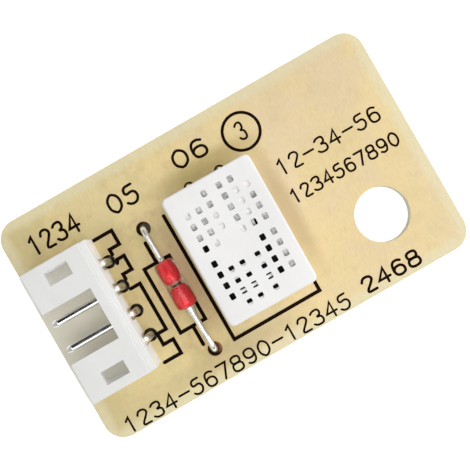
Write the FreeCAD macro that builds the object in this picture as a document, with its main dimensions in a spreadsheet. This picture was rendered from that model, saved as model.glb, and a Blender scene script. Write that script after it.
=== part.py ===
import FreeCAD, Part
import math
import os
import Sketcher

# Humidity sensor board: a small circuit board with a side-entry plug header, a glass thermistor and
# a humidity sensor in a gridded case. Millimetres, +Z out of the component side, X along the long side.
# The origin is under the board's centre, at the level of the trimmed wire tails.

doc = FreeCAD.newDocument("humidity_sensor_board")
sheet = doc.addObject("Spreadsheet::Sheet", "Sizes")

# Driving sizes in millimetres, turns in degrees, grouped by piece.
SIZES = {
    # Board and its holes
    "board_length": 37.0,
    "board_width": 22.0,
    "board_thickness": 1.6,
    "board_corner": 1.9,
    "tail_length": 1.6,
    "fixing_hole_radius": 2.5,
    "fixing_hole_from_end": 6.05,
    "fixing_hole_from_side": 6.0,
    "header_hole_radius": 0.6,
    "thermistor_hole_radius": 0.65,
    "sensor_hole_radius": 0.5,
    # Copper, mask and solder of the underside
    "copper_thickness": 0.035,
    "copper_margin": 1.0,
    "copper_gap": 0.6,
    "copper_ring": 1.0,
    "lane_reach": 1.5,
    "lower_split_x": 3.4,
    "mask_thickness": 0.06,
    "mask_ring": 0.4,
    "pin_pad_radius": 0.92,
    "wire_pad_radius": 1.2,
    "solder_radius": 0.86,
    "solder_tip": 0.42,
    "solder_height": 1.15,
    "solder_curve": 1.25,
    # Plug header: housing
    "header_holes_from_end": 7.65,
    "header_y": -0.26,
    "housing_width": 12.5,
    "housing_height": 5.8,
    "housing_front": 6.55,
    "housing_back": 0.92,
    "housing_rear_gap": 0.03,
    "housing_roof": 0.85,
    "housing_floor": 0.8,
    "housing_side": 0.9,
    "housing_rear_wall": 0.9,
    "housing_edge": 0.15,
    "housing_lip": 1.03,
    "ledge_step": 0.5,
    "bend_notch_width": 1.1,
    "wide_window_width": 4.85,
    "small_window_length": 2.2,
    "small_window_width": 1.22,
    "small_window_x": 3.55,
    "small_window_y": 4.8,
    # Plug header: pins
    "pin_pitch": 2.5,
    "pin_side": 0.64,
    "pin_height": 3.5,
    "pin_setback": 0.05,
    "pin_bend": 0.25,
    "pin_taper": 0.16,
    "pin_clearance": 0.02,
    # Humidity sensor: case
    "sensor_x": 0.2,
    "sensor_y": -0.63,
    "sensor_turn": -0.5,
    "cover_width": 8.57,
    "cover_length": 12.42,
    "cover_height": 4.5,
    "cover_wall": 0.75,
    "cover_roof": 0.5,
    "cover_corner": 0.5,
    "cover_edge": 0.2,
    "grille_hole_width": 0.46,
    "grille_hole_length": 0.58,
    "grille_pitch": 1.05,
    "grille_middle_x": 1.58,
    "grille_middle_y": 1.48,
    "grille_dimple": 0.12,
    "case_clearance": 0.04,
    "base_floor": 0.9,
    "base_shelf_gap": 0.05,
    "base_shelf_y": 1.05,
    "base_rail_width": 1.1,
    # Humidity sensor: element and wires
    "element_width": 5.6,
    "element_length": 6.2,
    "element_thickness": 0.5,
    "element_gap": 0.1,
    "electrode_thickness": 0.03,
    "electrode_line": 0.3,
    "electrode_space": 0.24,
    "electrode_bus": 0.4,
    "film_thickness": 0.07,
    "film_margin": 0.2,
    "sensor_pad_length": 1.1,
    "sensor_pad_width": 1.3,
    "sensor_wire_radius": 0.26,
    "sensor_wire_pitch": 3.1,
    "sensor_wire_drop": 0.07,
    "sensor_wire_bend": 0.45,
    "tack_width": 0.9,
    "tack_height": 0.62,
    # Thermistor
    "thermistor_x": -6.6,
    "thermistor_y": -1.73,
    "thermistor_turn": 1.0,
    "thermistor_pitch": 12.45,
    "thermistor_height": 1.0,
    "thermistor_hole_shift": -0.16,
    "glass_radius": 0.975,
    "glass_length": 4.6,
    "glass_shift": 0.53,
    "glass_round": 0.4,
    "stud_radius": 0.72,
    "stud_taper": 0.22,
    "stud_taper_length": 0.8,
    "stud_cover": 0.12,
    "chip_side": 0.55,
    "chip_thickness": 0.42,
    "wire_radius": 0.25,
    "wire_bend": 0.6,
    "weld_length": 0.9,
    "weld_curve": 0.47,
}

for row, (name, size) in enumerate(SIZES.items(), start=1):
    sheet.set("A%d" % row, name)
    sheet.set("B%d" % row, str(size))
    sheet.setAlias("B%d" % row, name)
doc.recompute()

# Counts
PIN_COUNT = 4
FINGER_COUNT = 8

# Levels and places that several pieces share, as expressions on the sheet
BOARD_BOTTOM = "Sizes.tail_length"
BOARD_TOP = "(Sizes.tail_length + Sizes.board_thickness)"
HEADER_X = "(Sizes.header_holes_from_end - Sizes.board_length / 2)"
FIXING_HOLE = ("(Sizes.board_length / 2 - Sizes.fixing_hole_from_end)",
               "(Sizes.fixing_hole_from_side - Sizes.board_width / 2)")
THERMISTOR_HALF = "(Sizes.thermistor_pitch / 2)"
SENSOR_DROP = "(Sizes.cover_length / 2 + Sizes.sensor_wire_drop)"
SENSOR_HALF = "(Sizes.sensor_wire_pitch / 2)"
WIRE_ALONG_Y = FreeCAD.Rotation(FreeCAD.Vector(1, 0, 0), -90)
CAVITY_HALF_X = "(Sizes.cover_width / 2 - Sizes.cover_wall)"
CAVITY_HALF_Y = "(Sizes.cover_length / 2 - Sizes.cover_wall)"

pieces = []


def value(expression):
    """The number that an expression on the sheet gives."""
    return float(sheet.evalExpression(expression))


def minus(expression):
    """The expression with its sign turned."""
    return "(-1 * (" + expression + "))"


def bind(item, sizes):
    """Tie properties of an object to expressions on the sheet."""
    for prop, expression in sizes.items():
        item.setExpression(prop, expression)


def place(item, x="0", y="0", z="0", turn="0"):
    """Put an object at a place, turned about the vertical."""
    bind(item, {
        "Placement.Base.x": x,
        "Placement.Base.y": y,
        "Placement.Base.z": z,
        "Placement.Rotation.Angle": turn,
    })


def sub_part(item, label):
    """Name a finished piece and keep it for the hand-out."""
    item.Label = label
    pieces.append(item)
    return item


def at_header(item, z=BOARD_TOP):
    place(item, HEADER_X, "Sizes.header_y", z)


def at_sensor(item, z=BOARD_TOP):
    place(item, "Sizes.sensor_x", "Sizes.sensor_y", z, "Sizes.sensor_turn")


def at_thermistor(item, z=BOARD_TOP):
    place(item, "Sizes.thermistor_x", "Sizes.thermistor_y", z, "Sizes.thermistor_turn")


def new_body(name):
    return doc.addObject("PartDesign::Body", name)


def new_sketch(body, name, plane, offset="0"):
    """A sketch on one of the body's own origin planes, moved along that plane's normal."""
    sketch = body.newObject("Sketcher::SketchObject", name)
    support = [feature for feature in body.Origin.OriginFeatures if feature.Role == plane][0]
    sketch.AttachmentSupport = [(support, "")]
    sketch.MapMode = "FlatFace"
    sketch.setExpression("AttachmentOffset.Base.z", offset)
    return sketch


def fix_point(sketch, edge, end, x, y):
    """Tie a sketch point to two expressions, measured from the sketch's origin."""
    for kind, axis, expression in (("DistanceX", -2, x), ("DistanceY", -1, y)):
        if expression == "0":
            sketch.addConstraint(Sketcher.Constraint("PointOnObject", edge, end, axis))
            continue
        rule = Sketcher.Constraint(kind, -1, 1, edge, end, value(expression))
        sketch.setExpression("Constraints[%d]" % sketch.addConstraint(rule), expression)


def arc_between(start, end, radius, side):
    """The shorter arc from start to end, with its centre to the left (side 1) or right (side -1)."""
    chord = end - start
    rise = math.sqrt(max(radius ** 2 - (chord.Length / 2) ** 2, 0.0))
    across = FreeCAD.Vector(-chord.y, chord.x, 0) * (side * rise / chord.Length)
    centre = start + chord * 0.5 + across
    first, last = (start, end) if side > 0 else (end, start)
    angles = [math.atan2(point.y - centre.y, point.x - centre.x) for point in (first, last)]
    return Part.ArcOfCircle(Part.Circle(centre, FreeCAD.Vector(0, 0, 1), radius), *angles)


def draw(sketch, points, arcs=None, closed=True):
    """Draw an outline through points given as expressions.

    arcs maps an edge's number to its radius expression and its side, as arc_between takes them.
    """
    arcs = arcs or {}
    spots = [FreeCAD.Vector(value(x), value(y), 0) for x, y in points]
    count = len(points) if closed else len(points) - 1
    ends = []
    for number in range(count):
        start = spots[number]
        end = spots[(number + 1) % len(points)]
        if number in arcs:
            radius, side = arcs[number]
            edge = sketch.addGeometry(arc_between(start, end, value(radius), side))
            rule = Sketcher.Constraint("Radius", edge, value(radius))
            sketch.setExpression("Constraints[%d]" % sketch.addConstraint(rule), radius)
            ends.append((edge, 1, 2) if side > 0 else (edge, 2, 1))
        else:
            edge = sketch.addGeometry(Part.LineSegment(start, end))
            ends.append((edge, 1, 2))
    for number in range(count):
        edge, first, last = ends[number]
        fix_point(sketch, edge, first, *points[number])
        if number + 1 < count:
            following = ends[number + 1]
            sketch.addConstraint(Sketcher.Constraint("Coincident", edge, last, following[0], following[1]))
    edge, first, last = ends[-1]
    if closed:
        sketch.addConstraint(Sketcher.Constraint("Coincident", edge, last, ends[0][0], ends[0][1]))
    else:
        fix_point(sketch, edge, last, *points[-1])


def draw_box(sketch, low_x, high_x, low_y, high_y):
    draw(sketch, [(low_x, low_y), (high_x, low_y), (high_x, high_y), (low_x, high_y)])


def draw_circle(sketch, x, y, radius):
    centre = FreeCAD.Vector(value(x), value(y), 0)
    edge = sketch.addGeometry(Part.Circle(centre, FreeCAD.Vector(0, 0, 1), value(radius)))
    fix_point(sketch, edge, 3, x, y)
    rule = Sketcher.Constraint("Radius", edge, value(radius))
    sketch.setExpression("Constraints[%d]" % sketch.addConstraint(rule), radius)


def pad(body, sketch, length, symmetric=False):
    feature = body.newObject("PartDesign::Pad", sketch.Name + "_pad")
    feature.Profile = sketch
    feature.setExpression("Length", length)
    if symmetric:
        feature.SideType = "Symmetric"
    doc.recompute()
    return feature


def pocket(body, sketch, length=None, reverse=False):
    """Cut a sketch into a body, to a depth or right through, and make sure that it cut something."""
    before = body.Shape.Volume
    feature = body.newObject("PartDesign::Pocket", sketch.Name + "_pocket")
    feature.Profile = sketch
    feature.Reversed = reverse
    if length is None:
        feature.Type = "ThroughAll"
    else:
        feature.setExpression("Length", length)
    doc.recompute()
    if body.Shape.Volume >= before:
        raise RuntimeError(sketch.Name + " cuts nothing")
    return feature


def revolve(body, sketch, axis):
    feature = body.newObject("PartDesign::Revolution", sketch.Name + "_turned")
    feature.Profile = sketch
    feature.ReferenceAxis = (sketch, [axis])
    doc.recompute()
    return feature


def round_edges(body, kind, size, wanted):
    """Fillet or chamfer those edges of a body's last feature for which wanted(edge) is true."""
    last = body.Tip
    names = ["Edge%d" % number for number, edge in enumerate(last.Shape.Edges, start=1) if wanted(edge)]
    feature = body.newObject("PartDesign::" + kind, last.Name + "_" + kind.lower())
    feature.Base = (last, names)
    feature.setExpression("Radius" if kind == "Fillet" else "Size", size)
    doc.recompute()
    return feature


def is_upright(edge):
    start, end = edge.Vertexes[0].Point, edge.Vertexes[-1].Point
    return abs(start.z - end.z) > edge.Length * 0.99


def is_at_height(edge, height):
    return all(abs(vertex.Z - height) < 0.001 for vertex in edge.Vertexes)


def block(name, low_x, high_x, low_y, high_y, low_z, high_z):
    """A plain block between two corners given as expressions."""
    box = doc.addObject("Part::Box", name)
    bind(box, {
        "Length": "(%s) - (%s)" % (high_x, low_x),
        "Width": "(%s) - (%s)" % (high_y, low_y),
        "Height": "(%s) - (%s)" % (high_z, low_z),
    })
    place(box, low_x, low_y, low_z)
    return box


def drum(name, x, y, low_z, high_z, radius):
    """A plain upright cylinder."""
    cylinder = doc.addObject("Part::Cylinder", name)
    bind(cylinder, {"Radius": radius, "Height": "(%s) - (%s)" % (high_z, low_z)})
    place(cylinder, x, y, low_z)
    return cylinder


def joined(name, items):
    """One solid made of several that meet or overlap."""
    if len(items) == 1:
        return items[0]
    fuse = doc.addObject("Part::MultiFuse", name)
    fuse.Shapes = items
    fuse.Refine = True
    return fuse


def grouped(name, items):
    """Several separate tools that cut together."""
    compound = doc.addObject("Part::Compound", name)
    compound.Links = items
    return compound


def cut(name, base, tool):
    result = doc.addObject("Part::Cut", name)
    result.Base = base
    result.Tool = tool
    return result


def pin_shift(number):
    """How far a header pin stands from the header's middle, for pins 0 to 3 from the top down."""
    return "(Sizes.pin_pitch * %s)" % ((PIN_COUNT - 1) / 2 - number)


# Each lead hole is its place, its own radius and the radius of its bare pad below

def header_hole(number):
    return (HEADER_X, "(Sizes.header_y + %s)" % pin_shift(number),
            "Sizes.header_hole_radius", "Sizes.pin_pad_radius")


def thermistor_hole(side):
    return ("(Sizes.thermistor_x + Sizes.thermistor_hole_shift)",
            "(Sizes.thermistor_y + %d * %s)" % (side, THERMISTOR_HALF),
            "Sizes.thermistor_hole_radius", "Sizes.wire_pad_radius")


def sensor_hole(side):
    return ("(Sizes.sensor_x + %d * %s)" % (side, SENSOR_HALF),
            "(Sizes.sensor_y + %s)" % SENSOR_DROP,
            "Sizes.sensor_hole_radius", "Sizes.wire_pad_radius")


PIN_HOLES = [header_hole(number) for number in range(PIN_COUNT)]
UPPER_HOLE = thermistor_hole(1)
LOWER_HOLE = thermistor_hole(-1)
LEFT_HOLE = sensor_hole(-1)
RIGHT_HOLE = sensor_hole(1)
ALL_HOLES = PIN_HOLES + [UPPER_HOLE, LOWER_HOLE, LEFT_HOLE, RIGHT_HOLE]


def board_plate(name, thickness):
    """A plate with the board's rounded outline, standing on its body's own base plane."""
    body = new_body(name)
    outline = new_sketch(body, name + "_outline", "XY_Plane")
    draw_box(outline, "-Sizes.board_length / 2", "Sizes.board_length / 2",
             "-Sizes.board_width / 2", "Sizes.board_width / 2")
    pad(body, outline, thickness)
    round_edges(body, "Fillet", "Sizes.board_corner", is_upright)
    return body


def make_laminate():
    """The bare board: its outline, the fixing hole and eight drilled lead holes."""
    body = board_plate("laminate", "Sizes.board_thickness")
    drilling = new_sketch(body, "drilling", "XY_Plane")
    draw_circle(drilling, *FIXING_HOLE, "Sizes.fixing_hole_radius")
    for x, y, radius, _ in ALL_HOLES:
        draw_circle(drilling, x, y, radius)
    pocket(body, drilling, reverse=True)
    place(body, z=BOARD_BOTTOM)
    return sub_part(body, "board_laminate")


def make_copper():
    """Four copper areas under the board, one for each header pin, drilled at their pads."""
    half_gap = "Sizes.copper_gap / 2"
    low = "(%s - Sizes.copper_thickness)" % BOARD_BOTTOM
    left = "(-Sizes.board_length / 2 + Sizes.copper_margin)"
    right = minus(left)
    bottom = "(-Sizes.board_width / 2 + Sizes.copper_margin)"
    top = minus(bottom)
    below_pin = ["(Sizes.header_y + Sizes.pin_pitch * %d)" % (1 - number) for number in range(PIN_COUNT - 1)]
    thermistor_left = "(%s - Sizes.lane_reach)" % UPPER_HOLE[0]
    thermistor_right = "(%s + Sizes.lane_reach)" % UPPER_HOLE[0]
    over_thermistor = "(%s + Sizes.lane_reach)" % UPPER_HOLE[1]
    under_sensor = "(%s - Sizes.lane_reach)" % LEFT_HOLE[1]
    split = "Sizes.lower_split_x"

    def before(line):
        return "(%s - %s)" % (line, half_gap)

    def after(line):
        return "(%s + %s)" % (line, half_gap)

    areas = {
        "copper_net_1": ([
            (left, before(thermistor_left), after(below_pin[0]), top),
            (left, before("Sizes.sensor_x"), after(over_thermistor), top),
            (after(thermistor_right), before("Sizes.sensor_x"), after(under_sensor), top),
        ], [PIN_HOLES[0], LEFT_HOLE]),
        "copper_net_2": ([
            (left, before(thermistor_right), after(below_pin[1]), before(below_pin[0])),
            (after(thermistor_left), before(thermistor_right), after(below_pin[1]), before(over_thermistor)),
        ], [PIN_HOLES[1], UPPER_HOLE]),
        "copper_net_3": ([
            (left, right, after(below_pin[2]), before(below_pin[1])),
            (after(thermistor_right), right, after(below_pin[2]), before(under_sensor)),
            (after("Sizes.sensor_x"), right, after(below_pin[2]), top),
            (after(split), right, bottom, before(under_sensor)),
        ], [PIN_HOLES[2], RIGHT_HOLE]),
        "copper_net_4": ([
            (left, before(split), bottom, before(below_pin[2])),
        ], [PIN_HOLES[3], LOWER_HOLE]),
    }
    nets = []
    for label, (patches, holes) in areas.items():
        sheets = [block("%s_patch_%d" % (label, number), *patch, low, BOARD_BOTTOM)
                  for number, patch in enumerate(patches)]
        tools = [drum("%s_hole_%d" % (label, number), x, y, low, BOARD_BOTTOM, radius)
                 for number, (x, y, radius, _) in enumerate(holes)]
        if label == "copper_net_3":
            tools.append(drum("fixing_ring", *FIXING_HOLE, low, BOARD_BOTTOM,
                              "Sizes.fixing_hole_radius + Sizes.copper_ring"))
        area = cut(label + "_cut", joined(label + "_sheet", sheets), grouped(label + "_holes", tools))
        nets.append(sub_part(area, label))
    return nets


def make_mask(nets):
    """The green film: it lies on the laminate and over the copper, and is open at each pad."""
    film = board_plate("mask_film", "Sizes.mask_thickness")
    low = "(%s - Sizes.mask_thickness)" % BOARD_BOTTOM
    place(film, z=low)
    openings = [drum("mask_opening_%d" % number, x, y, low, BOARD_BOTTOM, pad_radius)
                for number, (x, y, _, pad_radius) in enumerate(ALL_HOLES)]
    openings.append(drum("mask_fixing_opening", *FIXING_HOLE, low, BOARD_BOTTOM,
                         "Sizes.fixing_hole_radius + Sizes.mask_ring"))
    opened = cut("mask_opened", film, grouped("mask_openings", openings))
    return sub_part(cut("mask_over_copper", opened, grouped("mask_copper", nets)), "solder_mask")


def make_housing():
    """The header's moulding: a box open to the front, with a lip on its floor, three windows in its
    roof, a low step along its back and notches in its rear face for the pins' bends.
    """
    body = new_body("housing")
    front = "(-Sizes.housing_front)"
    back = "(-Sizes.housing_back)"
    cavity_end = "(-Sizes.housing_back - Sizes.housing_rear_wall)"
    cavity_half = "(Sizes.housing_width / 2 - Sizes.housing_side)"
    rear = "(-Sizes.pin_side / 2 - Sizes.housing_rear_gap)"
    roof = "(Sizes.housing_height - Sizes.housing_roof)"
    ledge = "(Sizes.housing_height - Sizes.ledge_step)"

    shell = new_sketch(body, "housing_outline", "XZ_Plane")
    lip = "(%s - Sizes.housing_lip)" % front
    draw(shell, [(lip, "0"), (rear, "0"), (rear, ledge), (back, ledge),
                 (back, "Sizes.housing_height"), (front, "Sizes.housing_height"),
                 (front, "Sizes.housing_floor"), (lip, "Sizes.housing_floor")])
    pad(body, shell, "Sizes.housing_width", symmetric=True)
    round_edges(body, "Fillet", "Sizes.housing_edge",
                lambda edge: is_at_height(edge, value("Sizes.housing_height"))
                or is_at_height(edge, value(ledge))
                and edge.CenterOfMass.x > value(back) + value("Sizes.housing_edge"))

    cavity = new_sketch(body, "housing_cavity", "YZ_Plane", front)
    draw_box(cavity, minus(cavity_half), cavity_half, "Sizes.housing_floor", roof)
    pocket(body, cavity, "%s - %s" % (cavity_end, front), reverse=True)

    windows = new_sketch(body, "housing_windows", "XY_Plane", roof)
    wide = "(Sizes.wide_window_width / 2)"
    draw_box(windows, "%s - Sizes.housing_edge" % front, cavity_end, minus(wide), wide)
    for side in (-1, 1):
        middle = "(%d * Sizes.small_window_y)" % side
        draw_box(windows,
                 "(-Sizes.small_window_x - Sizes.small_window_length / 2)",
                 "(-Sizes.small_window_x + Sizes.small_window_length / 2)",
                 "(%s - Sizes.small_window_width / 2)" % middle,
                 "(%s + Sizes.small_window_width / 2)" % middle)
    pocket(body, windows, reverse=True)

    passages = new_sketch(body, "housing_pin_holes", "YZ_Plane", cavity_end)
    reach = "(Sizes.pin_side / 2 + Sizes.pin_clearance)"
    for number in range(PIN_COUNT):
        shift = pin_shift(number)
        draw_box(passages, "(%s - %s)" % (shift, reach), "(%s + %s)" % (shift, reach),
                 "(Sizes.pin_height - %s)" % reach, "(Sizes.pin_height + %s)" % reach)
    pocket(body, passages, reverse=True)

    notches = new_sketch(body, "housing_bend_notches", "XY_Plane")
    notch_end = "(-Sizes.pin_side / 2 - Sizes.pin_bend - Sizes.pin_clearance)"
    for number in range(PIN_COUNT):
        shift = pin_shift(number)
        draw_box(notches, notch_end, "0",
                 "(%s - Sizes.bend_notch_width / 2)" % shift, "(%s + Sizes.bend_notch_width / 2)" % shift)
    pocket(body, notches, "Sizes.pin_height", reverse=True)
    at_header(body)
    return sub_part(body, "connector_housing")


def make_pin(number):
    """A square pin: it reaches forward into the housing, bends down behind it and goes through the board."""
    body = new_body("pin_%d" % (number + 1))
    half = "(Sizes.pin_side / 2)"
    tip = "(-Sizes.housing_front + Sizes.pin_setback)"
    drop = minus(BOARD_TOP)
    under = "(Sizes.pin_height - %s)" % half
    over = "(Sizes.pin_height + %s)" % half
    inner = "Sizes.pin_bend"
    outer = "(Sizes.pin_bend + Sizes.pin_side)"
    taper = "Sizes.pin_taper"
    profile = new_sketch(body, "pin_profile_%d" % (number + 1), "XZ_Plane")
    draw(profile, [
        ("(%s + %s)" % (minus(half), taper), drop),
        ("(%s - %s)" % (half, taper), drop),
        (half, "(%s + %s)" % (drop, taper)),
        (half, "(%s - %s)" % (over, outer)),
        ("(%s - %s)" % (half, outer), over),
        ("(%s + %s)" % (tip, taper), over),
        (tip, "(%s - %s)" % (over, taper)),
        (tip, "(%s + %s)" % (under, taper)),
        ("(%s + %s)" % (tip, taper), under),
        ("(%s - %s)" % (minus(half), inner), under),
        (minus(half), "(%s - %s)" % (under, inner)),
        (minus(half), "(%s + %s)" % (drop, taper)),
    ], arcs={3: (outer, 1), 9: (inner, -1)})
    pad(body, profile, "Sizes.pin_side", symmetric=True)
    at_header(body)
    body.setExpression("Placement.Base.y", "Sizes.header_y + %s" % pin_shift(number))
    return sub_part(body, "connector_pin_%d" % (number + 1))


# The case's grid, seen from above with the wire end at the top: # is an open hole, o a shallow dimple
GRILLE = (
    "..###.",
    "o###oo",
    "##o#o#",
    "##o#o#",
    "#o.o##",
    "#...##",
    "######",
    "######",
    "######",
    ".###..",
)


def grid_place(number, count, middle):
    """A column's or row's distance from the case's centre line, in two groups with a wider middle bar."""
    steps = number - (count // 2 - 1) if number < count // 2 else number - count // 2
    side = -1 if number < count // 2 else 1
    return "(%d * %s / 2 + %d * Sizes.grille_pitch)" % (side, middle, steps)


def make_cover():
    """The sensor's white cover: a cap open below, with its grid of holes and two slots for the wires."""
    body = new_body("cover_shell")
    half_x = "(Sizes.cover_width / 2)"
    half_y = "(Sizes.cover_length / 2)"
    outline = new_sketch(body, "cover_outline", "XY_Plane")
    draw_box(outline, minus(half_x), half_x, minus(half_y), half_y)
    pad(body, outline, "Sizes.cover_height")
    round_edges(body, "Fillet", "Sizes.cover_corner", is_upright)
    round_edges(body, "Fillet", "Sizes.cover_edge",
                lambda edge: is_at_height(edge, value("Sizes.cover_height")))

    cavity = new_sketch(body, "cover_cavity", "XY_Plane")
    draw_box(cavity, minus(CAVITY_HALF_X), CAVITY_HALF_X, minus(CAVITY_HALF_Y), CAVITY_HALF_Y)
    pocket(body, cavity, "Sizes.cover_height - Sizes.cover_roof", reverse=True)

    slots = new_sketch(body, "cover_wire_slots", "XZ_Plane", minus(half_y))
    slot_half = "(Sizes.sensor_wire_radius + Sizes.case_clearance)"
    for side in (-1, 1):
        x = "(%d * %s)" % (side, SENSOR_HALF)
        draw_box(slots, "(%s - %s)" % (x, slot_half), "(%s + %s)" % (x, slot_half), "0",
                 "(%s + %s)" % (wire_level(), slot_half))
    pocket(body, slots, "Sizes.cover_wall", reverse=True)

    tools = []
    reach_x = "Sizes.grille_hole_width / 2"
    reach_y = "Sizes.grille_hole_length / 2"
    for row, line in enumerate(GRILLE):
        y = minus(grid_place(row, len(GRILLE), "Sizes.grille_middle_y"))
        for column, mark in enumerate(line):
            if mark == ".":
                continue
            x = grid_place(column, len(line), "Sizes.grille_middle_x")
            depth = "Sizes.grille_dimple" if mark == "o" else "Sizes.cover_roof"
            tools.append(block("grille_%d_%d" % (row, column),
                               "%s - %s" % (x, reach_x), "%s + %s" % (x, reach_x),
                               "%s - %s" % (y, reach_y), "%s + %s" % (y, reach_y),
                               "Sizes.cover_height - %s" % depth, "Sizes.cover_height"))
    cover = cut("cover_grid", body, grouped("grille_tools", tools))
    at_sensor(cover)
    return sub_part(cover, "sensor_cover")


def element_level():
    """The underside of the sensing element over the board."""
    return "(Sizes.base_floor + Sizes.element_gap)"


def element_face():
    return "(%s + Sizes.element_thickness)" % element_level()


def wire_level():
    """The height of the sensor wires' axes over the board: they lie on the element's pads."""
    return "(%s + Sizes.electrode_thickness + Sizes.sensor_wire_radius)" % element_face()


def element_box():
    """The element's edges: its left side in the open cell, its top end against the shelf."""
    high_x = "(%s - Sizes.case_clearance - Sizes.base_rail_width)" % CAVITY_HALF_X
    high_y = "Sizes.base_shelf_y - Sizes.case_clearance"
    return ("(%s - Sizes.case_clearance - Sizes.element_width)" % high_x,
            "(%s - Sizes.case_clearance)" % high_x,
            "(%s - Sizes.element_length)" % high_y,
            "(%s)" % high_y)


def make_base():
    """The sensor's base: a floor, a shelf moulded round the wires, a side rail and ribs for the element."""
    low_x, high_x, low_y, high_y = element_box()
    edge_x = "(%s - Sizes.case_clearance)" % CAVITY_HALF_X
    edge_y = "(%s - Sizes.case_clearance)" % CAVITY_HALF_Y
    shelf_top = "Sizes.cover_height - Sizes.cover_roof - Sizes.base_shelf_gap"
    floor = block("base_floor_plate", minus(edge_x), edge_x, minus(edge_y), edge_y, "0", "Sizes.base_floor")
    shelf = block("base_shelf", minus(edge_x), edge_x, "Sizes.base_shelf_y", edge_y,
                  "Sizes.base_floor", shelf_top)
    rail = block("base_rail", "%s - Sizes.base_rail_width" % edge_x, edge_x, minus(edge_y),
                 "Sizes.base_shelf_y", "Sizes.base_floor", shelf_top)
    ribs = [block("base_rib_upper", low_x, high_x, "%s - Sizes.cover_wall" % high_y, high_y,
                  "Sizes.base_floor", element_level()),
            block("base_rib_lower", low_x, high_x, low_y, "%s + Sizes.cover_wall" % low_y,
                  "Sizes.base_floor", element_level())]
    solid = joined("base_solid", [floor, shelf, rail] + ribs)
    bores = []
    for side, name in ((-1, "left"), (1, "right")):
        bore = doc.addObject("Part::Cylinder", "base_bore_" + name)
        bind(bore, {"Radius": "Sizes.sensor_wire_radius", "Height": "%s - Sizes.base_shelf_y" % edge_y})
        bore.Placement = FreeCAD.Placement(FreeCAD.Vector(), WIRE_ALONG_Y)
        bind(bore, {"Placement.Base.x": "%d * %s" % (side, SENSOR_HALF),
                    "Placement.Base.y": "Sizes.base_shelf_y",
                    "Placement.Base.z": wire_level()})
        bores.append(bore)
    base = cut("base_bored", solid, grouped("base_bores", bores))
    at_sensor(base)
    return sub_part(base, "sensor_base")


def make_element():
    """The ceramic plate, two comb electrodes that interlock on it, and the film over the combs."""
    low_x, high_x, low_y, high_y = element_box()
    face = element_face()
    plate = block("element_plate", low_x, high_x, low_y, high_y, element_level(), face)
    ceramic = grouped("element_ceramic", [plate])
    at_sensor(ceramic)
    sub_part(ceramic, "sensor_substrate")

    metal_top = "(%s + Sizes.electrode_thickness)" % face
    pad_low = "(%s - Sizes.sensor_pad_length)" % high_y
    comb_left = "(%s + Sizes.film_margin)" % low_x
    comb_right = "(%s - Sizes.film_margin)" % high_x
    comb_low = "(%s + Sizes.film_margin)" % low_y
    pitch = "(Sizes.electrode_line + Sizes.electrode_space)"
    first = "(%s - Sizes.electrode_space - Sizes.electrode_line)" % pad_low
    combs = []
    for side, name in ((-1, "left"), (1, "right")):
        wire_x = "(%d * %s)" % (side, SENSOR_HALF)
        if side < 0:
            bus = (comb_left, "(%s + Sizes.electrode_bus)" % comb_left)
            tooth = (comb_left, "(%s - Sizes.electrode_bus - Sizes.electrode_space)" % comb_right)
            link = (comb_left, "(%s + Sizes.sensor_pad_width / 2)" % wire_x)
        else:
            bus = ("(%s - Sizes.electrode_bus)" % comb_right, comb_right)
            tooth = ("(%s + Sizes.electrode_bus + Sizes.electrode_space)" % comb_left, comb_right)
            link = ("(%s - Sizes.sensor_pad_width / 2)" % wire_x, comb_right)
        bars = [block("comb_bus_" + name, *bus, comb_low, high_y, face, metal_top),
                block("comb_pad_" + name, *link, pad_low, high_y, face, metal_top)]
        start = 0 if side < 0 else 1
        for number in range(start, FINGER_COUNT, 2):
            low = "(%s - %d * %s)" % (first, number, pitch)
            bars.append(block("comb_%s_%d" % (name, number), *tooth, low, "(%s + Sizes.electrode_line)" % low,
                              face, metal_top))
        comb = joined("comb_" + name, bars)
        at_sensor(comb)
        combs.append(sub_part(comb, "sensor_electrode_" + name))
    layer = block("film_block",
                  "(%s + Sizes.case_clearance)" % low_x, "(%s - Sizes.case_clearance)" % high_x,
                  "(%s + Sizes.case_clearance)" % low_y, pad_low,
                  face, "(%s + Sizes.film_thickness)" % face)
    at_film = grouped("film_placed", [layer])
    at_sensor(at_film)
    film = cut("film_over_combs", at_film, grouped("film_combs", combs))
    sub_part(film, "sensor_film")


def make_sensor_wire(side, name):
    """A round wire: from the element's pad through the shelf and the slot, then down through the board."""
    body = new_body("sensor_wire_" + name)
    level = "(%s + %s)" % (BOARD_TOP, wire_level())
    inner_end = "(Sizes.base_shelf_y - Sizes.sensor_pad_length - %s)" % SENSOR_DROP
    spine = new_sketch(body, "sensor_wire_path_" + name, "YZ_Plane")
    draw(spine, [
        ("0", "0"),
        ("0", "(%s - Sizes.sensor_wire_bend)" % level),
        ("(-Sizes.sensor_wire_bend)", level),
        (inner_end, level),
    ], arcs={1: ("Sizes.sensor_wire_bend", 1)}, closed=False)
    sweep_wire(body, spine, "Sizes.sensor_wire_radius", "sensor_wire_section_" + name)
    return seat_sensor_item(body, side, "sensor_lead_" + name)


def seat_pin_item(body, number, label):
    """Put a piece that is built round its own pin's tail at that pin's place."""
    place(body, HEADER_X, "Sizes.header_y + %s" % pin_shift(number))
    return sub_part(body, label)


def seat_sensor_item(body, side, label):
    """Put a piece that is built round its own wire's tail at that wire's place in the turned case."""
    across = "(%d * %s)" % (side, SENSOR_HALF)
    turn = "(Sizes.sensor_turn * 1deg)"
    place(body,
          "Sizes.sensor_x + %s * cos(%s) - %s * sin(%s)" % (across, turn, SENSOR_DROP, turn),
          "Sizes.sensor_y + %s * sin(%s) + %s * cos(%s)" % (across, turn, SENSOR_DROP, turn),
          "0", "Sizes.sensor_turn")
    return sub_part(body, label)


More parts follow.
